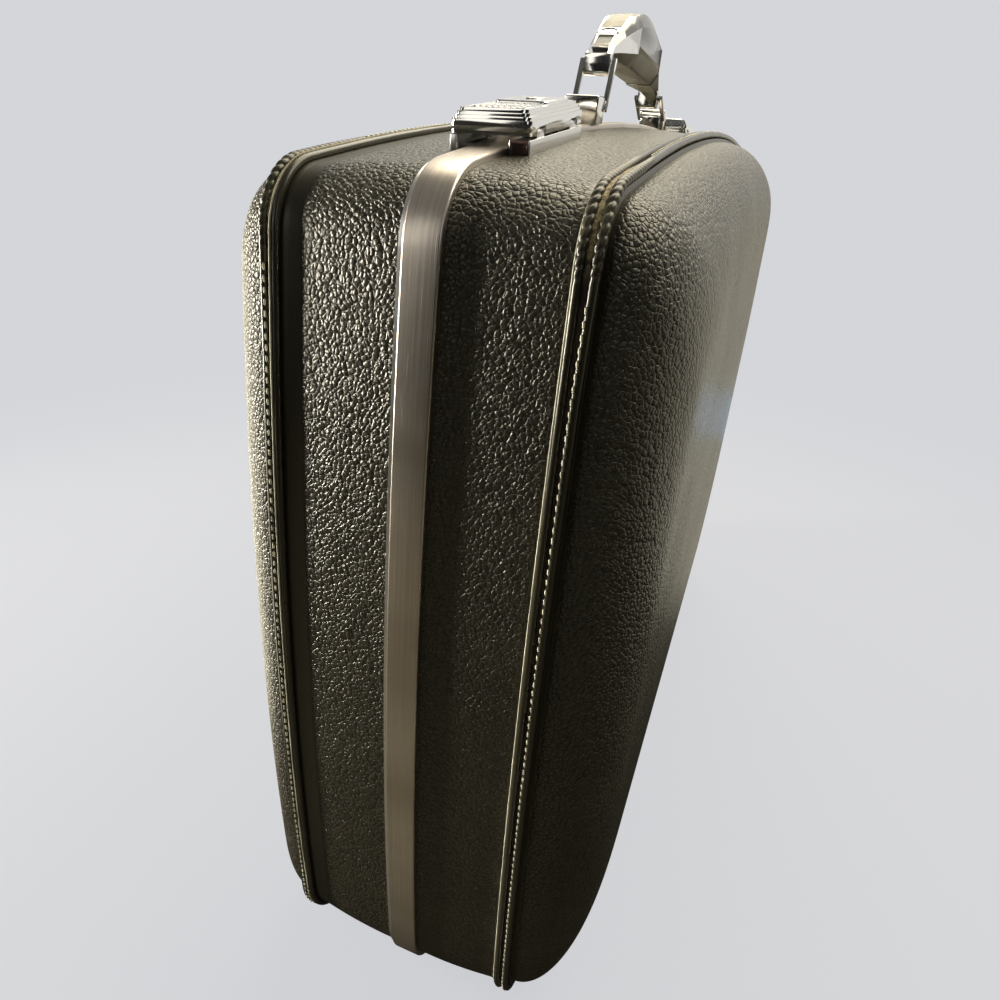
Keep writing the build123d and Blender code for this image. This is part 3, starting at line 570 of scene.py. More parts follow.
def grained_vinyl(name, pebble, depth, colours):
    """Leather-grain vinyl: cells with soft creases, smaller wrinkles on them, and less of both where the
    mesh's grain attribute is low. The creases are painted darker and the pebble tops lighter, as painted shade."""
    paint = Paint(name)
    place = paint.place()
    grain = paint.attribute("grain")
    moved = paint.shifted(place, 0.20 / pebble, 1.3 * pebble)
    moved = paint.shifted(moved, 0.8 / pebble, 0.35 * pebble)
    crease = (paint.cells(moved, 1.0 / pebble) * 5.0).math("MINIMUM", 1.0) ** 0.6
    dome = 1 - (paint.cells(moved, 1.0 / pebble, "F1") ** 2.0) * 1.5
    small = paint.cells(moved, 2.1 / pebble, "F1") ** 2.0
    cloud = paint.noise(place, 0.45 / pebble, 2.0, 0.5)
    folds = paint.noise(paint.shifted(place, 60.0, 0.014), 85.0, 2.0, 0.5)
    height = (dome * 0.42 + crease * 0.26 - small * 0.15 + cloud * 0.45 + folds * 0.9) * grain
    patches = paint.noise(place, 9.0, 4.0, 0.6)
    # Painted shade: pebble tops lighter and creases darker in colour.
    relief_shade = dome * 0.6 + crease * 0.4
    colour = paint.blend(colours.vinyl_crease_shade, colours.vinyl, relief_shade * grain + (1 - grain) * 0.55)
    dusty = scaled(colours.vinyl, 1.7)
    colour = paint.blend(colour, dusty, patches.steps(0.52, 0.78) * 0.5)
    rough = 0.31 + patches * 0.16 - dome * grain * 0.04
    return paint.finish(Base_Color=colour, Roughness=rough, Normal=paint.bump(height, depth),
                        Specular_IOR_Level=0.6, Specular_Tint=(1.0, 0.95, 0.80, 1.0))


def smooth_vinyl(name, colours):
    """Smooth vinyl of the piping, paler and rougher where the mesh's worn attribute is high: wear and painted
    sheen.
    """
    paint = Paint(name)
    place = paint.place()
    worn = paint.attribute("worn")
    cloud = paint.noise(place, 900.0, 3.0)
    patches = paint.noise(place, 60.0, 4.0, 0.6)
    # Paler where worn: partly rubbed wear, partly painted sheen on the puckers.
    colour = paint.blend(scaled(colours.vinyl, 0.75), scaled(colours.vinyl, 2.6),
                         worn * patches.steps(0.35, 0.7) * 0.9)
    rough = 0.22 + patches * 0.14 + worn * 0.04
    return paint.finish(Base_Color=colour, Roughness=rough, Normal=paint.bump(cloud, 0.00006),
                        Specular_Tint=(1.0, 0.97, 0.86, 1.0))


def worn_core(name, colours):
    """Filler in the seam: dark brown, and tan with cracks where it is worn."""
    paint = Paint(name)
    place = paint.place()
    worn = paint.attribute("worn")
    cloud = paint.noise(place, 420.0, 5.0, 0.65)
    crack = paint.cells(paint.shifted(place, 700.0, 0.0018), 520.0).steps(0.0, 0.10)
    core = colours.core
    tan = paint.blend(scaled(core, 0.45), scaled(core, 1.3), cloud.steps(0.34, 0.66))
    tan = paint.blend(scaled(core, 0.40), tan, crack)
    tan = paint.blend(tan, (0.03, 0.025, 0.015), paint.noise(place, 150.0, 3.0).steps(0.60, 0.68))
    colour = paint.blend((0.045, 0.030, 0.020), tan, worn)
    return paint.finish(Base_Color=colour, Roughness=0.62 + cloud * 0.2,
                        Normal=paint.bump(cloud * 0.6 + crack * 0.5, 0.0003))


def thread_finish(name, colour):
    """Waxed thread with a fine twist."""
    paint = Paint(name)
    place = paint.place()
    twist = paint.noise(place, 2600.0, 2.0)
    patches = paint.noise(place, 40.0, 3.0)
    shade = paint.blend(scaled(colour, 0.62), colour, patches.steps(0.3, 0.62))
    shade = paint.blend(shade, (0.20, 0.165, 0.075), paint.attribute("dull") * 0.9)
    return paint.finish(Base_Color=shade, Roughness=0.55 + twist * 0.2, Normal=paint.bump(twist, 0.00012))


def brushed_steel(name, colour, along=6.0, across=2600.0, rough=0.27):
    """Steel brushed along the piece's first UV direction, with fine scratches, cloudy tarnish, and darker
    stretches along it that are painted reflection.
    """
    paint = Paint(name)
    streak = paint.noise(paint.sheet(along, across), 1.0, 4.0, 0.6)
    scratch = paint.noise(paint.sheet(along * 6, across * 0.35), 1.0, 2.0).steps(0.62, 0.70)
    cloud = paint.noise(paint.place(), 38.0, 4.0, 0.6)
    # Painted reflection: stretches along the band that are painted darker.
    reflection_zones = paint.noise(paint.sheet(14.0, 0.0), 1.0, 2.0, 0.5)
    shade = paint.blend(scaled(colour, 0.82), scaled(colour, 1.12), streak.steps(0.3, 0.7))
    # Real cloudy tarnish together with the painted dark reflections.
    tarnish_and_painted_reflection = reflection_zones.steps(0.42, 0.62) * 0.5 + cloud.steps(0.5, 0.8) * 0.35
    shade = paint.blend(shade, scaled(colour, 0.60), tarnish_and_painted_reflection)
    roughness = rough + streak * 0.10 + cloud * 0.12 + scratch * 0.06 - reflection_zones * 0.10
    return paint.finish(Base_Color=shade, Metallic=1.0, Roughness=roughness,
                        Normal=paint.bump(streak + scratch * 0.5, 0.000035))


def plated(name, colour, rough=0.07, pitting=1.0):
    """Bright plate with faint scratches, fine pitting and dull patches."""
    paint = Paint(name)
    place = paint.place()
    cloud = paint.noise(place, 90.0, 4.0, 0.6)
    pits = paint.cells(place, 900.0, "F1").steps(0.10, 0.16)
    rare = paint.noise(place, 240.0, 2.0).steps(0.60, 0.66)
    spots = (1 - pits) * rare * pitting
    shade = paint.blend(colour, scaled(colour, 0.35), spots * 0.8 + cloud.steps(0.55, 0.8) * 0.12)
    roughness = rough + cloud * 0.10 + spots * 0.35
    return paint.finish(Base_Color=shade, Metallic=1.0, Roughness=roughness,
                        Normal=paint.bump(cloud * 0.2 - spots, 0.00004))


def moulded(name, colour, rough=0.42, scale=700.0):
    """Moulded vinyl or plastic with a fine tooth and rubbed patches."""
    paint = Paint(name)
    place = paint.place()
    tooth = paint.noise(place, scale, 3.0)
    patches = paint.noise(place, 45.0, 4.0, 0.6)
    shade = paint.blend(scaled(colour, 0.72), scaled(colour, 1.18), patches.steps(0.3, 0.7))
    return paint.finish(Base_Color=shade, Roughness=rough + patches * 0.12 + tooth * 0.06,
                        Normal=paint.bump(tooth, 0.00005))


def woven(name, colour, pitch=0.0007, sheen=0.35):
    """Plain weave: over and under threads as the product of two waves along the UV map, in metres."""
    paint = Paint(name)
    turns = 2 * math.pi / pitch
    place = paint.sheet(turns, turns)
    weave = paint.axis(place, "X").math("SINE") * paint.axis(place, "Y").math("SINE") * 0.5 + 0.5
    patches = paint.noise(paint.place(), 14.0, 4.0, 0.6)
    shade = paint.blend(scaled(colour, 0.6), scaled(colour, 1.1), weave * 0.6 + patches * 0.4)
    return paint.finish(Base_Color=shade, Roughness=0.62 + patches * 0.15, Sheen_Weight=sheen,
                        Sheen_Roughness=0.4, Normal=paint.bump(weave, 0.00016))


MATERIALS = {}


def make_materials(shell, colours):
    """Every finish of the suitcase, by name."""
    chrome = colours.chrome
    MATERIALS.update({
        "vinyl": grained_vinyl("Grained vinyl", shell.pebble, shell.grain_depth, colours),
        "piping": smooth_vinyl("Smooth vinyl", colours),
        "core": worn_core("Seam filler", colours),
        "thread": thread_finish("Cream thread", colours.thread),
        "band": brushed_steel("Brushed band", colours.steel),
        "chrome": plated("Bright chrome", chrome),
        "satin": plated("Satin chrome", scaled(chrome, 0.85), 0.24, 0.4),
        # Shaded chrome and dark chrome are darker copies of the bright chrome: painted shade on the bails, the
        # cap's ribs and upper chamfers; the grip frame wears dark chrome too.
        "shaded": plated("Shaded chrome", scaled(chrome, 0.6), 0.12, 0.5),
        "dark_chrome": plated("Dark chrome", scaled(chrome, 0.25), 0.14, 0.5),
        "aluminium": plated("Extruded aluminium", (0.70, 0.70, 0.68), 0.28, 0.3),
        "zinc": plated("Zinc plate", (0.50, 0.49, 0.46), 0.33, 0.6),
        "recess": moulded("Dull recess", (0.13, 0.062, 0.055), 0.35),
        "olive": moulded("Olive panel", colours.olive, 0.33),
        "grip": moulded("Olive-brown grip", colours.grip, 0.40),
        "rubber": moulded("Black rubber", (0.020, 0.020, 0.019), 0.7, 1200.0),
        "lining": woven("Woven lining", colours.lining),
        "webbing": woven("Webbing", scaled(colours.lining, 0.55), 0.0012, 0.15),
    })


# Pieces of the case


def half_side(half):
    """Sign, joint, taper end, welt start and welt end of one half, in millimetres."""
    if half == "base":
        return 1, BAND_LEFT, BAND_RIGHT, BASE_DEPTH, BASE_DEPTH + WELT_WIDTH
    joint = LID_JOINT - RIM_WIDTH
    return -1, joint, joint - BAND_ROLL, -LID_DEPTH, -LID_DEPTH - WELT_WIDTH


def pan_profile(side, welt_end, inward, count):
    """Section of a domed face: a quarter ellipse over the shoulder, then a low cosine crown.
    Depth is PAN_DEPTH times the square root of one less the square of one less inset over SHOULDER, plus
    CROWN_RISE times half of one less the cosine over the crown."""
    angle = np.linspace(0.0, math.pi / 2, count)
    inset = SHOULDER * (1 - np.cos(angle))
    inset = np.concatenate([inset, np.linspace(SHOULDER, SHOULDER + CROWN_WIDTH, count // 2)[1:]])
    shoulder = np.sqrt(np.clip(1 - (1 - np.clip(inset / SHOULDER, 0, 1)) ** 2, 0, 1))
    crown = 0.5 * (1 - np.cos(math.pi * np.clip((inset - SHOULDER / 2) / (CROWN_WIDTH + SHOULDER / 2), 0, 1)))
    depth = (PAN_DEPTH - PAN_STEP / 4 - inward) * shoulder + CROWN_RISE * crown
    x = welt_end + side * (PAN_STEP / 4 + depth)
    return x, -PAN_STEP - inset - (inward - PAN_STEP if inward else 0.0), CORNER_GROWTH * inset


def pan_skin(half):
    """Domed face with its flange under the welt, as one closed shell."""
    side, _, _, welt_start, welt_end = half_side(half)
    middle = (welt_start + welt_end) / 2
    s = places_round(6.0, 2.4)
    outer_x, outer_offset, outer_extra = pan_profile(side, welt_end, 0.0, 40)
    inner_x, inner_offset, inner_extra = pan_profile(side, welt_end, PAN_THICKNESS, 10)
    x = np.concatenate([[middle, middle, welt_end], outer_x])
    offset = np.concatenate([[-PAN_THICKNESS, 0.0, 0.0], outer_offset])
    extra = np.concatenate([[0.0, 0.0, 0.0], outer_extra])
    rings = [case_points(x[:, None], s, offset[:, None], extra[:, None])]
    centre = rings[0][-1].mean(0)
    for share in np.linspace(0, 1, 9)[1:-1]:
        rings.append((rings[0][-1] + (centre - rings[0][-1]) * share)[None])
    inner = case_points(inner_x[:, None], s, inner_offset[:, None], inner_extra[:, None])
    points = np.concatenate([inner[::-1], *rings])
    inner_rows = len(inner)
    v = run_along(points[:, 0])
    from_welt = v - v[inner_rows + 2]
    grain = smooth_step(from_welt, 0.0022, 0.0065)[:, None]
    piece = lattice(half + "_pan_skin", points, True, False, (True, True), np.append(s, ROUND) * MM, v,
                    {"grain": grain}, 50)
    return give(piece, half, MATERIALS["vinyl"], half + "_pan", slot="vinyl")


def wall_skin(half, shell):
    """Tapered side wall: flat taper plus a sine swell between band and welt, and a flare up to the welt."""
    side, joint, taper_start, welt_start, _ = half_side(half)
    s = places_round(6.0, 2.4)
    t = np.linspace(0.0, 1.0, 26) ** 0.9
    x = taper_start + (welt_start - taper_start) * t
    from_welt = np.abs(welt_start - x)
    offset = WALL_TAPER * (1 - t)
    offset = offset + shell.puff / MM * np.sin(math.pi * t) ** 0.8
    offset = offset + shell.cove / MM * np.exp(-from_welt / 1.6)
    end = welt_start + side * WELT_WIDTH / 2
    outer_x = np.concatenate([[joint], x, [end]])
    outer_offset = np.concatenate([[WALL_TAPER], offset, [0.0]])
    inner_x = np.array([end, welt_start, taper_start, joint])
    inner_offset = np.array([0.0, 0.0, WALL_TAPER, WALL_TAPER]) - WALL_THICKNESS
    bare = 11.0 if half == "lid" else 2.0
    grain = np.concatenate([[1.0], smooth_step(from_welt, bare - 2.0, bare + 2.5), [0.0], np.zeros(4)])
    piece = hoop(half + "_wall_skin", np.concatenate([outer_x, inner_x])[:, None],
                 np.concatenate([outer_offset, inner_offset])[:, None], s, 0.0, {"grain": grain[:, None]},
                 sharp=50)
    return give(piece, half, MATERIALS["vinyl"], half + "_side_wall", slot="vinyl")


def worn_places(s, half):
    """How worn the welt is at each place: 1 on the near top corner, fading along the top and down the end."""
    from_corner = s - NEAR_TOP_CORNER
    along_top = 1 - smooth_step(-from_corner, 38.0, 78.0 if half == "base" else 92.0)
    down_end = 1 - smooth_step(from_corner, 12.0, 27.0)
    return np.where(from_corner < 0, along_top, down_end)


def widened(s):
    """How far the worn part of the seam has opened at each place, from 0 to 1, in a long smooth rise."""
    from_corner = s - NEAR_TOP_CORNER
    return smooth_step(from_corner, -150.0, -30.0) * (1 - smooth_step(from_corner, 5.0, 80.0))


def worn_stretch(spacing):
    """The stretch round the worn corner that needs closer columns, for places_round."""
    return [(NEAR_TOP_CORNER - FINE_BEFORE, NEAR_TOP_CORNER + FINE_AFTER, spacing)]


def roll(name, half, x_centre, radius, shell, phase, spread=0.0, puckers=1.0):
    """One roll of piping: a circle carried round the case, its radius pinched in narrow dips where worn.
    The radius is R times (1 - 0.50 (1 - |sin| to the power 0.5)) there, and spread moves the worn part
    sideways."""
    s = places_round(5.0, 2.4, worn_stretch(0.42))
    worn = worn_places(s, half) * puckers
    angle = round_angles(16)[:, None]
    slanted = s + phase + 1.2 * np.cos(angle)
    pinch = 1 - np.abs(np.sin(math.pi * slanted / (shell.bead_pitch / MM))) ** 0.5
    wobble = 0.03 * np.sin(s / 17.0 + phase) + 0.02 * np.sin(s / 5.3 + 2 * phase)
    size = radius * (1 + wobble - 0.50 * pinch * worn ** 0.5 * (worn > 0.02) + 0.22 * worn)
    x = x_centre + spread * widened(s) + size * np.cos(angle)
    offset = WELT_RISE + size * np.sin(angle)
    return hoop(name, x, offset, s, 0.0, {"worn": np.broadcast_to(worn, x.shape), "grain": 0.0})


def seam_core(half, inner, outer, side):
    """Filler between the rolls, which swells and ripples where the seam has worn open."""
    s = places_round(6.0, 2.4, worn_stretch(0.9))
    worn = worn_places(s, half)
    ripple = 0.18 * np.sin(s * 1.9) * np.sin(s * 0.7 + 1.0)
    opened = outer + side * SEAM_OPENING * widened(s)
    across = np.array([-1.0, -0.75, -0.35, 0.0, 0.35, 0.75, 1.0])[:, None]
    top = WELT_RISE - 0.6 + 1.2 * worn * (1 - across ** 2) + ripple * worn
    x = (inner + opened) / 2 + np.abs(opened - inner) / 2 * np.concatenate([across, across[::-1]])
    offset = np.concatenate([top, np.full(top.shape, 0.2)])
    core = hoop(half + "_seam_core", x, offset, s, 0.0, {"worn": np.broadcast_to(worn, x.shape)})
    give(core, half, MATERIALS["core"], slot="piping")


def welt_edge(half, inner, outer, side, radius):
    """Thin raised edge beside the base's inner roll, or between the lid's rolls, dull up to the corner."""
    if half == "base":
        middle, height = inner - side * (radius + 0.15), WELT_RISE + 0.2
    else:
        middle, height = (inner + outer) / 2 - side * 0.7, WELT_RISE + radius - 0.3
    thin = 0.42
    s = places_round(5.0, 2.4)
    angle = round_angles(6)[:, None]
    dull = 1 - smooth_step(s, NEAR_TOP_CORNER - 12.0, NEAR_TOP_CORNER + 14.0)
    x = middle + thin * np.cos(angle) + 0 * s
    offset = height + 1.3 * thin * np.sin(angle) + 0.05 * np.sin(s / 9.0)
    edge = hoop(half + "_welt_edge", x, offset, s, 0.0, {"dull": np.broadcast_to(dull, x.shape)})
    give(edge, half, MATERIALS["thread"], slot="piping")


def stitch_row(half, outer, side, radius, shell):
    """Evenly spaced stitches on the outer roll, none where the seam has worn open."""
    count = int(ROUND / (shell.stitch_pitch / MM))
    places = (np.arange(count) + 0.5) * ROUND / count
    places = places[(places < NEAR_TOP_CORNER - UNSTITCHED_BEFORE)
                    | (places > NEAR_TOP_CORNER + UNSTITCHED_AFTER)]
    x = outer + side * (widened(places) - radius * 0.55)
    height = WELT_RISE + radius * 0.90
    ahead = unit(case_points(x, places + 0.5, height) - case_points(x, places - 0.5, height))
    ahead[:, 0] += STITCH_SLANT
    row = bars(half + "_stitches", shell.stitch_length, shell.stitch_radius,
               case_points(x, places, height), unit(ahead))
    give(row, half, MATERIALS["thread"], slot="piping")


def welt_pieces(half, shell):
    """Piping: two rolls with a core between them, a thin raised edge, and a row of stitches."""
    side, _, _, start, end = half_side(half)
    radius = shell.piping_radius / MM
    inner = start + side * (radius + 0.2)
    outer = end - side * (radius + 0.1)
    puckers = 1.0 if half == "base" else 0.0
    rolls = (roll(half + "_piping_inner", half, inner, radius, shell, 0.0, 0.0, puckers),
             roll(half + "_piping_outer", half, outer, radius, shell, 1.3, side * SEAM_OPENING))
    seam_core(half, inner, outer, side)
    welt_edge(half, inner, outer, side, radius)
    for piece in rolls:
        give(piece, half, MATERIALS["piping"], slot="piping")
    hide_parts(half + "_welt")
    stitch_row(half, outer, side, radius, shell)


def band_hoop():
    """Brushed band: a flat face with two quarter-round edges, notched where the hinge knuckles turn."""
    s = places_round(6.0, 2.4)
    outer = WALL_TAPER + BAND_STAND
    turn = np.linspace(0, math.pi / 2, 6)
    left_x = BAND_LEFT + BAND_ROLL * (1 - np.sin(turn))
    left_offset = outer - BAND_ROLL * (1 - np.cos(turn))
    x = np.concatenate([[BAND_LEFT], left_x[::-1], -left_x, [BAND_RIGHT]])
    offset = np.concatenate([[WALL_TAPER + 0.05], left_offset[::-1], left_offset, [WALL_TAPER + 0.05]])
    y, z, _, _ = outline(s, 0.0)
    near_hinge = (np.abs(np.abs(y) - HINGE_SPACING / 2) < HINGE_HALF + 2.0) & (z < GROUND + 1.0)
    x = x[:, None] + 0 * s
    notch = 3.2
    x = np.where((x < 0) & near_hinge, np.maximum(x, BAND_LEFT + notch), x)
    piece = hoop("band_face", x, offset[:, None] + 0 * s, s, sharp=60)
    return give(piece, "base", MATERIALS["band"], "band", slot="band_steel")


def lining_skin(half):
    """Woven lining against the inside of one half: the solid's section with rounded turns."""
    side, _, taper_start, welt_start, welt_end = half_side(half)
    s = places_round(8.0, 3.5)
    frame_end = BAND_RIGHT if half == "base" else LID_JOINT - LEG_LENGTH
    share = (welt_start - frame_end) / (welt_start - taper_start)
    pan_x, pan_offset, pan_extra = pan_profile(side, welt_end, PAN_THICKNESS, 18)
    wall_x = np.linspace(frame_end, welt_end, 8)[:-1]
    wall_offset = np.interp(side * wall_x, [side * frame_end, side * welt_start],
                            [WALL_TAPER * share, 0.0]) - WALL_THICKNESS
    points = case_points(np.concatenate([wall_x, pan_x])[:, None], s,
                         np.concatenate([wall_offset, pan_offset])[:, None],
                         np.concatenate([0 * wall_x, pan_extra])[:, None])
    v = run_along(points[:, 0])
    piece = lattice(half + "_lining_cloth", points, True, False, (False, True), np.append(s, ROUND) * MM, v)
    thicken(piece, 0.0008)
    area = float(read(piece.data.polygons, "area", 1).sum())
    return give(piece, half, MATERIALS["lining"], half + "_lining", slot="lining")


def thicken(piece, thickness):
    """Give a sheet its thickness, on the side away from its normals."""
    wall = piece.modifiers.new("Thickness", "SOLIDIFY")
    wall.thickness = thickness
    wall.offset = -1.0


def strap_ribbon(name, y, x, low, high, width, thickness):
    """Flat webbing: a straight strip up the face, with a thickness."""
    across, z = np.linspace(-width / 2, width / 2, 5), np.linspace(low, high, 60)[:, None]
    points = np.stack([x - thickness / 2 + 0 * z + 0 * across, y + across + 0 * z, z + 0 * across], -1) * MM
    piece = lattice(name, points, False, False, (False, False), across * MM, z[:, 0] * MM)
    thicken(piece, thickness * MM)
    return piece


def latch_lips(end):
    """Turned-down edge of the latch cover, just clear of the block and the keeper, and open at the lugs.
    Two strips along a rounded rectangle, carried onto the crowned top at the latch."""
    way = -1.0 if end == "near" else 1.0
    crown = TOP_RADIUS + WALL_TAPER + BAND_STAND
    tilt = math.asin(LATCH_Y / crown)
    seat = TOP_CENTRE_Z + GROUND + math.cos(tilt) * crown
    lug_start, lug_end, corner, rim_top, rim_low, keeper_low = 19.2, 31.0, 3.0, 5.7, 3.85, 3.45
    turn = np.linspace(0.0, math.pi / 2, 7)
    for tag, corners in (("lip", ((1, -1), (-1, -1), (-1, 1), (1, 1))), ("middle_lip", ())):
        reach = lug_end if corners else lug_start
        rails = []
        for inset in (0.05, 0.85):
            half_x, half_y, bend = LATCH_HALF_X - inset, LATCH_HALF_Y - inset, corner - inset
            path = [(half_x, -reach)]
            for quarter, (side_x, side_y) in enumerate(corners):
                angle = -quarter * math.pi / 2 - turn
                path += list(zip(side_x * (half_x - bend) + bend * np.cos(angle),
                                 side_y * (half_y - bend) + bend * np.sin(angle)))
            path.append((half_x, reach))
            rails.append(np.array(path))
        order = [0, 0, 1, 1]
        x, along = (np.stack([rails[k][:, axis] for k in order], 1) for axis in (0, 1))
        by_keeper = (x[:, 0] > 17.0) & (np.abs(along[:, 0]) < 37.0)
        low = np.where(by_keeper, keeper_low, rim_low)
        high = np.full(len(low), rim_top)
        rise = np.stack([high, low, low, high], 1)
        y = way * (LATCH_Y - along * math.cos(tilt) + rise * math.sin(tilt))
        z = seat + along * math.sin(tilt) + rise * math.cos(tilt)
        piece = lattice("latch_%s_%s" % (tag, end), np.stack([x + SHIFT, y, z], -1) * MM, True, False,
                        (True, True), sharp=40)
        give(piece, end + "_cover", MATERIALS["chrome"], slot="bright_chrome")


def recess_end(piece, way):
    """Dull, reddish finish on the faces of a block that look along way, inside the bright rim."""
    piece.data.materials.append(MATERIALS["recess"])
    looking = read(piece.data.polygons, "normal", 3)[:, 1] * way > 0.9
    piece.data.polygons.foreach_set("material_index", looking.astype(np.int32))


def dress_cap(end):
    """One end of the grip: bright plate, with painted shade on the upper chamfers in dark chrome, and the olive
    pad's colour under it. Each flat face takes its finish from its direction."""
    sign = 1.0 if end == "near" else -1.0
    name = "grip_cap_" + end
    piece = refined(name, name + "_plated", 0.45)
    give(piece, "grip", MATERIALS["chrome"], name, slot="bright_chrome")
    for finish in ("dark_chrome", "grip"):
        piece.data.materials.append(MATERIALS[finish])
    normal, centre = (read(piece.data.polygons, key, 3) for key in ("normal", "center"))
    low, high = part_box(name)
    start = low.y if end == "near" else high.y
    # Painted shade: the upper chamfers take the dark chrome because they face up.
    chamfer = (np.abs(normal[:, 0]) > 0.6) & (normal[:, 2] > 0.3)
    under = (normal[:, 2] < -0.3) & (sign * (start - centre[:, 1]) < -9.0 * MM)
    finish = np.where(under, 2, np.where(chamfer, 1, 0)).astype(np.int32)
    piece.data.polygons.foreach_set("material_index", finish)
    arch = cap_arch(name, sign)
    cap_plates(name, start / MM, sign, arch)
    cap_ribs(name, start / MM, sign, arch)
    cap_boss(name, start / MM, sign, arch)


def cap_plates(name, start, sign, arch):
    """Olive inlay, and a matt black plate under the ribs that paints the shade between them: thin plates that
    follow the cap's top line.
    """
    section = np.array([(-1.0, -0.4), (1.0, -0.4), (1.0, 0.0), (0.95, 0.2), (-0.95, 0.2), (-1.0, 0.0)])
    for tag, reach, half_width, finish, slot in (
            ("_inlay", (26.0, 52.0), 6.5, "olive", "grip_insert"),
            # Painted shade: a matt black plate under the ribs, on the chrome cap.
            ("_rib_shade_plate", (3.4, 17.1), 4.9, "rubber", "bright_chrome")):
        inward = np.linspace(*reach, 24)[:, None]
        top = np.interp(inward, *arch)
        rows = np.stack([SHIFT + half_width * section[:, 0] + 0 * top,
                         start + sign * inward + 0 * section[:, 0], top + section[:, 1]], -1) * MM
        plate = lattice(name + tag, rows, True, False, (True, True), sharp=30)
        give(plate, "grip", MATERIALS[finish], slot=slot)


def cap_ribs(name, start, sign, arch):
    """Nine fine ribs on the black plate, in a slight fan, in dark chrome as painted shade."""
    place = np.arange(9) - 4.0
    foot, head, pitch, fan, radius, lift = 3.0, 17.5, 1.12, 0.10, 0.34, 0.14
    middle = (foot + head) / 2
    climb = np.diff(np.interp([foot, head], *arch))[0]
    way = np.stack([fan * place, 0 * place + sign * (head - foot), 0 * place + climb], -1)
    origins = np.stack([SHIFT + pitch * place, 0 * place + start + sign * middle,
                        0 * place + np.interp(middle, *arch) + lift], -1) * MM
    length = float(np.linalg.norm(way[0]))
    ribs = bars(name + "_ribs", length * MM, radius * MM, origins, unit(way), 7, 8)
    # Painted shade: the ribs take the dark chrome.
    give(ribs, "grip", MATERIALS["dark_chrome"], slot="bright_chrome")


def cap_boss(name, start, sign, arch):
    """Plain arch behind the ribs: a round bar bent along a half ellipse."""
    centre, bend, thick, squash = 19.3, 6.0, 0.75, 0.80
    theta = np.linspace(-0.15, math.pi + 0.15, 40)[:, None]
    phi = round_angles(10)
    radius = bend + thick * np.cos(phi)
    along = centre + squash * radius * np.sin(theta)
    boss = np.stack([SHIFT + radius * np.cos(theta), start + sign * along,
                     np.interp(along, *arch) + thick * np.sin(phi) + 0 * theta], -1) * MM
    arc = lattice(name + "_boss", boss, True, False, (True, True))
    give(arc, "grip", MATERIALS["chrome"], slot="bright_chrome")


def cap_arch(name, sign):
    """Top line of a cap: distances in from its outer end, and the heights there."""
    points = read(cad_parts[name].data.vertices, "co", 3) / MM
    start = points[:, 1].min() if sign > 0 else points[:, 1].max()
    inward = sign * (points[:, 1] - start)
    places = np.arange(1.5, 53.0, 1.0)
    near = np.abs(inward[None] - places[:, None]) < 4.5
    order = np.unique(np.where(near, points[:, 2], -1e9).argmax(1))
    order = order[np.argsort(inward[order])]
    return inward[order], points[order, 2]


def pocket_panel(low, high):
    """Gathered pocket cloth: a row of sine pleats across it, a little deeper toward its top."""
    pleats, thickness = 26, 0.0009
    u = np.linspace(0, 1, 313)
    v = np.linspace(0, 1, 30)[:, None]
    y = low.y + (high.y - low.y) * u
    z = low.z + (high.z - low.z) * v
    pleat = 0.5 + 0.5 * np.sin(2 * math.pi * pleats * u + 0.8 * np.sin(9 * u))
    edge = np.minimum(smooth_step(u, 0.0, 0.03), 1 - smooth_step(u, 0.97, 1.0))
    front = 0.0012 + 0.0054 * pleat * (0.75 + 0.25 * v) * edge
    points = np.stack([low.x + front + 0 * z, y + 0 * z, z + 0 * y], -1)
    run = run_along(points[len(points) // 2])
    piece = lattice("lid_pocket_cloth", points, False, False, (False, False), run, v[:, 0] * (high.z - low.z))
    thicken(piece, thickness)
    return piece


# Operators


class PaintFinishes(bpy.types.Operator):
    """Make every finish and give it to the nodes that keep their own shape"""
    bl_idname = "suitcase.finishes"
    bl_label = "Finishes"

    def execute(self, context):
        scene = context.scene
        make_materials(scene.suitcase_shell, scene.suitcase_colours)
        kept = {
            "aluminium": ("base_frame", "lid_frame"),
            "zinc": ("base_hinge_leaves", "lid_hinge_leaves", "base_hinge_rivets", "lid_hinge_rivets",
                     "hinge_pins", "latch_pin_near", "latch_pin_far", "latch_spring_near",
                     "latch_spring_far"),
            "rubber": ("base_feet", "lid_feet"),
            "chrome": ("tie_buckles",),
        }
        for finish, nodes in kept.items():
            for node in nodes:
                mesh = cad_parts[node].data
                mesh.materials.clear()
                mesh.materials.append(MATERIALS[finish])
        return {"FINISHED"}


class DressShell(bpy.types.Operator):
    """Make the domed faces and the side walls in grained vinyl"""
    bl_idname = "suitcase.shell"
    bl_label = "Vinyl shell"

    def execute(self, context):
        shell = context.scene.suitcase_shell
        for half in ("base", "lid"):
            pan_skin(half)
            wall_skin(half, shell)
        return {"FINISHED"}


class DressWelts(bpy.types.Operator):
    """Make the piping, the seam core and the stitches of both welts"""
    bl_idname = "suitcase.welts"
    bl_label = "Welts"

    def execute(self, context):
        for half in ("base", "lid"):
            welt_pieces(half, context.scene.suitcase_shell)
        return {"FINISHED"}


class DressBand(bpy.types.Operator):
    """Make the brushed band"""
    bl_idname = "suitcase.band"
    bl_label = "Band"

    def execute(self, context):
        band_hoop()
        return {"FINISHED"}


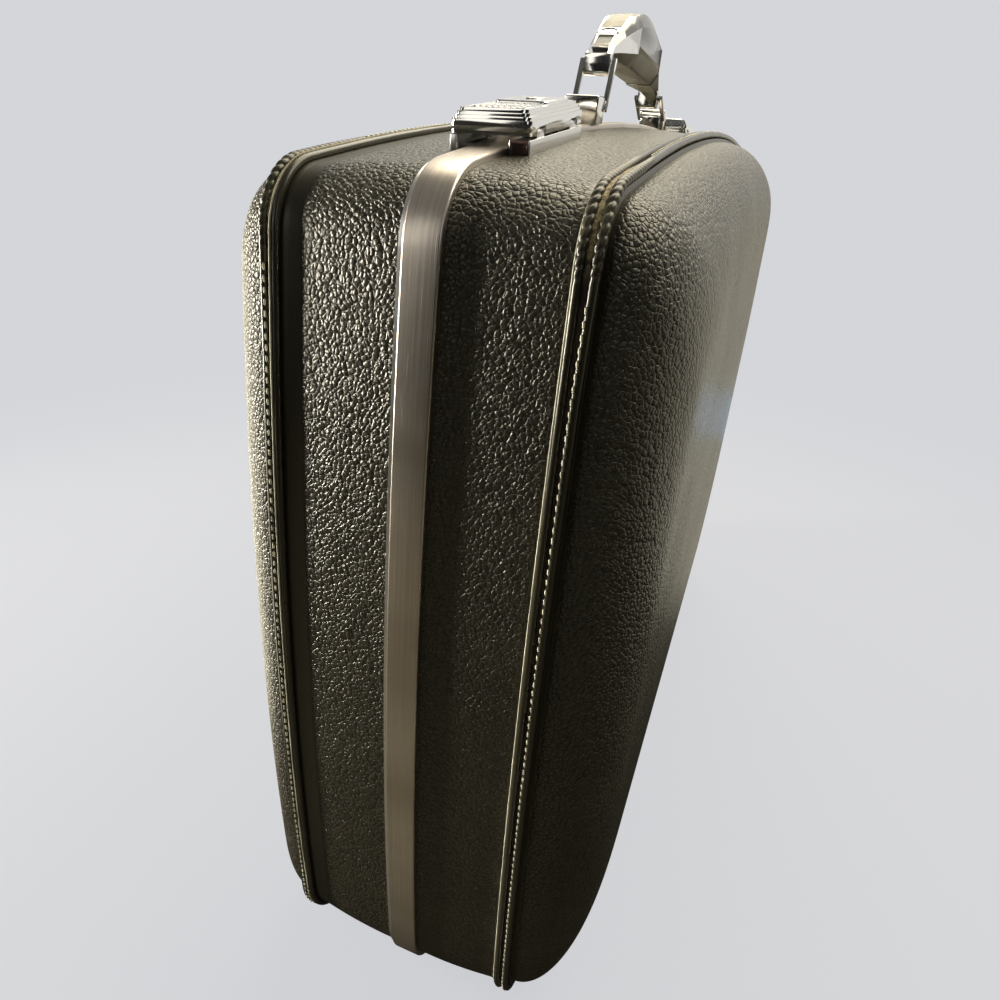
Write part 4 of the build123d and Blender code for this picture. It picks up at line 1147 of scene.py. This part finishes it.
class DressLatches(bpy.types.Operator):
    """Make both latches with rounded edges"""
    bl_idname = "suitcase.latches"
    bl_label = "Latches"

    def execute(self, context):
        for end in ("near", "far"):
            for node, body, bevel, finish in (
                ("latch_cover", end + "_cover", 0.3, "chrome"), ("latch_slide", end + "_slide", 0.12, "chrome"),
                ("lock_plug", end + "_lock", 0.15, "chrome"), ("latch_block", "base", 0.3, "satin"),
                ("latch_keeper", "lid", 0.3, "satin"),
            ):
                name = node + "_" + end
                piece = refined(name, name + "_plated", bevel)
                give(piece, body, MATERIALS[finish], name, slot="bright_chrome")
                if node == "latch_block":
                    recess_end(piece, -1.0 if end == "near" else 1.0)
            latch_lips(end)
        return {"FINISHED"}


class DressHandle(bpy.types.Operator):
    """Make the posts, bails and grip"""
    bl_idname = "suitcase.handle"
    bl_label = "Handle"

    def execute(self, context):
        for end in ("near", "far"):
            for node, body, bevel, finish in (("handle_post", "base", 0.4, "chrome"),
                                              # The bails take the shaded chrome: painted shade.
                                              ("handle_bail", end + "_bail", 0.3, "shaded")):
                name = node + "_" + end
                piece = refined(name, name + "_plated", bevel)
                give(piece, body, MATERIALS[finish], name, slot="bright_chrome")
            dress_cap(end)
        for node, finish, slot in (("grip_frame", "dark_chrome", "grip_plastic"),
                                   ("grip_pad", "grip", "grip_plastic"),
                                   ("grip_insert", "olive", "grip_insert")):
            piece = refined(node, node + "_moulded", 0.5)
            give(piece, "grip", MATERIALS[finish], node, slot=slot)
        return {"FINISHED"}


class DressInside(bpy.types.Operator):
    """Make the linings, the pocket and the tie straps"""
    bl_idname = "suitcase.inside"
    bl_label = "Inside"

    def execute(self, context):
        for half in ("base", "lid"):
            lining_skin(half)
        low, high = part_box("tie_straps")
        middle = (low + high) / 2
        for index, y in enumerate((low.y + 0.011, high.y - 0.011)):
            ribbon = strap_ribbon("tie_strap_%d" % (index + 1), y / MM, middle.x / MM, low.z / MM, high.z / MM,
                                  22.0, 1.4)
            give(ribbon, "base", MATERIALS["webbing"], "tie_straps", slot="webbing")
        low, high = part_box("lid_pocket")
        pocket = pocket_panel(low, high)
        give(pocket, "lid", MATERIALS["lining"], "lid_pocket", slot="lining")
        return {"FINISHED"}


class SetStage(bpy.types.Operator):
    """Make the floor, the lamps, the surround and the camera"""
    bl_idname = "suitcase.stage"
    bl_label = "Stage"

    def execute(self, context):
        scene = context.scene
        stage = scene.suitcase_stage
        scene.view_settings.view_transform = "Standard"
        self.surround(scene, stage)
        self.floor(stage)
        self.lamp("overhead_softbox", (0.3, 0.75, 1.75), (0.05, 0.0, 0.40), (2.2, 1.5), stage.overhead,
                  (1.0, 0.91, 0.71))
        self.lamp("left_softbox", (-1.55, -0.57, 0.34), (-0.02, -0.30, 0.17), (0.14, 0.8), stage.key,
                  (1.0, 0.96, 0.86))
        self.lamp("glint_lamp", (1.15, 0.05, 1.60), (0.08, -0.25, 0.40), (0.20, 0.20), stage.glint,
                  (0.92, 0.96, 1.0))
        self.card("window_card", (0.05, 0.80, 0.002), (0.30, 0.80, 0.002), (0.0, 0.30, 0.0),
                  (0.55, 0.74, 1.0), stage.window)
        self.card("front_card", (-0.95, -1.5, 0.55), (-0.55, -1.7, 0.55), (0.0, 0.0, 0.95),
                  (1.0, 0.97, 0.90), stage.cards)
        self.card("right_card", (0.75, -1.5, 0.70), (1.05, -1.2, 0.70), (0.0, 0.0, 1.0),
                  (0.93, 0.96, 1.0), stage.cards)
        self.camera(scene)
        return {"FINISHED"}

    def surround(self, scene, stage):
        """Warm light from behind and above, and to the camera the plain background."""
        scene.world = bpy.data.worlds.new("Pale surround")
        paint = Paint("", scene.world)
        way = paint.node("ShaderNodeTexCoord", out="Generated")
        back = paint.axis(way, "Y").steps(0.25, 0.80)
        above = paint.axis(way, "Z").steps(0.20, 0.95)
        glow = (back * 1.45 + above * 0.30 + 0.02) * stage.world
        warm = paint.blend((0.0, 0.0, 0.0), (1.0, 0.98, 0.93), glow)
        lit = paint.node("ShaderNodeBackground", {}, {"Color": warm})
        plain = paint.node("ShaderNodeBackground", {}, {"Color": opaque(stage.pale)})
        paint.close(paint.mix(paint.ray("Is Camera Ray"), lit, plain), "World")

    def floor(self, stage):
        """Pale floor, which fades into the background far off. Mirrors show it dark, with a pale part behind
        the case, a bright patch at its left and a dim one in front."""
        paint = Paint("Pale floor")
        place = paint.place()
        length = paint.node("ShaderNodeVectorMath", {"operation": "LENGTH"}, {0: place}, "Value")
        far = length.steps(0.55, 1.25)
        across, depth = paint.axis(place, "X"), paint.axis(place, "Y")
        left = across.steps(-0.34, -0.24, 1.0, 0.0) * depth.steps(-0.44, -0.28)
        front = depth.steps(-0.42, -0.30, 1.0, 0.0) * depth.steps(-1.3, -0.9)
        mirrored = paint.blend((0.025, 0.023, 0.018), (0.86, 0.81, 0.65), depth.steps(0.12, 0.30))
        mirrored = paint.blend(mirrored, (2.8, 2.6, 2.0), left)
        mirrored = paint.blend(mirrored, (0.19, 0.165, 0.115), front)
        shown = paint.mix(far * 0.12 + 0.88, paint.matt(stage.pale), paint.glow(stage.pale))
        other = paint.mix(paint.ray("Is Glossy Ray"), paint.matt((0.22, 0.21, 0.19)), paint.glow(mirrored))
        material = paint.close(paint.mix(paint.ray("Is Camera Ray"), other, shown))
        radius = np.array([0.0005, 0.5, 1.5, 4.0, 12.0, 40.0])[:, None]
        angle = round_angles(64)
        ring = np.stack([radius * np.cos(angle), radius * np.sin(angle), 0 * radius * angle], -1)
        floor = lattice("floor", ring, True, False, (True, False))
        floor.data.materials.append(material)

    def card(self, name, left, right, rise, colour, strength):
        """Glowing card that only mirrors show, for the reflections in chrome and gloss."""
        paint = Paint(name)
        edge = np.array([left, right])
        card = lattice(name, np.stack([edge, edge + rise]), False)
        card.data.materials.append(paint.close(paint.glow(colour, strength)))
        card.visible_camera = card.visible_diffuse = card.visible_shadow = False

    def lamp(self, name, place, target, size, power, colour):
        """Rectangular area lamp that faces a point."""
        data = bpy.data.lights.new(name, "AREA")
        data.shape = "RECTANGLE"
        data.size, data.size_y = size
        data.energy = power
        data.color = colour
        lamp = bpy.data.objects.new(name, data)
        lamp.location = place
        lamp.rotation_euler = (Vector(target) - Vector(place)).to_track_quat("-Z", "Y").to_euler()
        bpy.context.scene.collection.objects.link(lamp)

    def camera(self, scene):
        """Camera at the photograph's place and angles."""
        eye = (0.12898, -0.58908, 0.50310)
        yaw, pitch, tilt = -0.3701, 0.4589, 0.0581
        ahead = np.array([math.sin(yaw) * math.cos(pitch), math.cos(yaw) * math.cos(pitch), -math.sin(pitch)])
        level = np.array([math.cos(yaw), -math.sin(yaw), 0.0])
        above = np.cross(level, ahead)
        right = math.cos(tilt) * level + math.sin(tilt) * above
        up = -math.sin(tilt) * level + math.cos(tilt) * above
        data = bpy.data.cameras.new("camera")
        data.sensor_width = 36.0
        data.lens = 26.8
        data.shift_x, data.shift_y = 0.033, -0.008
        data.clip_start, data.clip_end = 0.01, 100.0
        camera = bpy.data.objects.new("camera", data)
        matrix = np.eye(4)
        matrix[:3, 0], matrix[:3, 1], matrix[:3, 2] = right, up, -ahead
        matrix[:3, 3] = eye
        camera.matrix_world = Matrix(matrix.tolist())
        scene.collection.objects.link(camera)
        scene.camera = camera


class SuitcasePanel(bpy.types.Panel):
    """Settings and steps of the suitcase"""
    bl_idname = "VIEW3D_PT_suitcase"
    bl_label = "Suitcase"
    bl_space_type = "VIEW_3D"
    bl_region_type = "UI"
    bl_category = "Suitcase"

    def draw(self, context):
        for group in GROUPS:
            box = self.layout.box()
            settings = getattr(context.scene, group)
            for key in settings.__annotations__:
                box.prop(settings, key)
        for step in STEPS:
            self.layout.operator(step.bl_idname)


GROUPS = {"suitcase_shell": SuitcaseShell, "suitcase_colours": SuitcaseColours, "suitcase_stage": SuitcaseStage}
STEPS = (PaintFinishes, DressShell, DressWelts, DressBand, DressLatches, DressHandle, DressInside, SetStage)
CLASSES = tuple(GROUPS.values()) + STEPS + (SuitcasePanel,)


def register():
    """Add the settings, steps and panel."""
    for cls in CLASSES:
        bpy.utils.register_class(cls)
    for name, group in GROUPS.items():
        setattr(bpy.types.Scene, name, bpy.props.PointerProperty(type=group))


def unregister():
    """Take them out again."""
    for name in GROUPS:
        delattr(bpy.types.Scene, name)
    for cls in reversed(CLASSES):
        bpy.utils.unregister_class(cls)


def main():
    """Run every step in order."""
    register()
    for step in STEPS:
        group, name = step.bl_idname.split(".")
        getattr(getattr(bpy.ops, group), name)()
    bpy.context.view_layer.update()


if __name__ == "__main__":
    main()
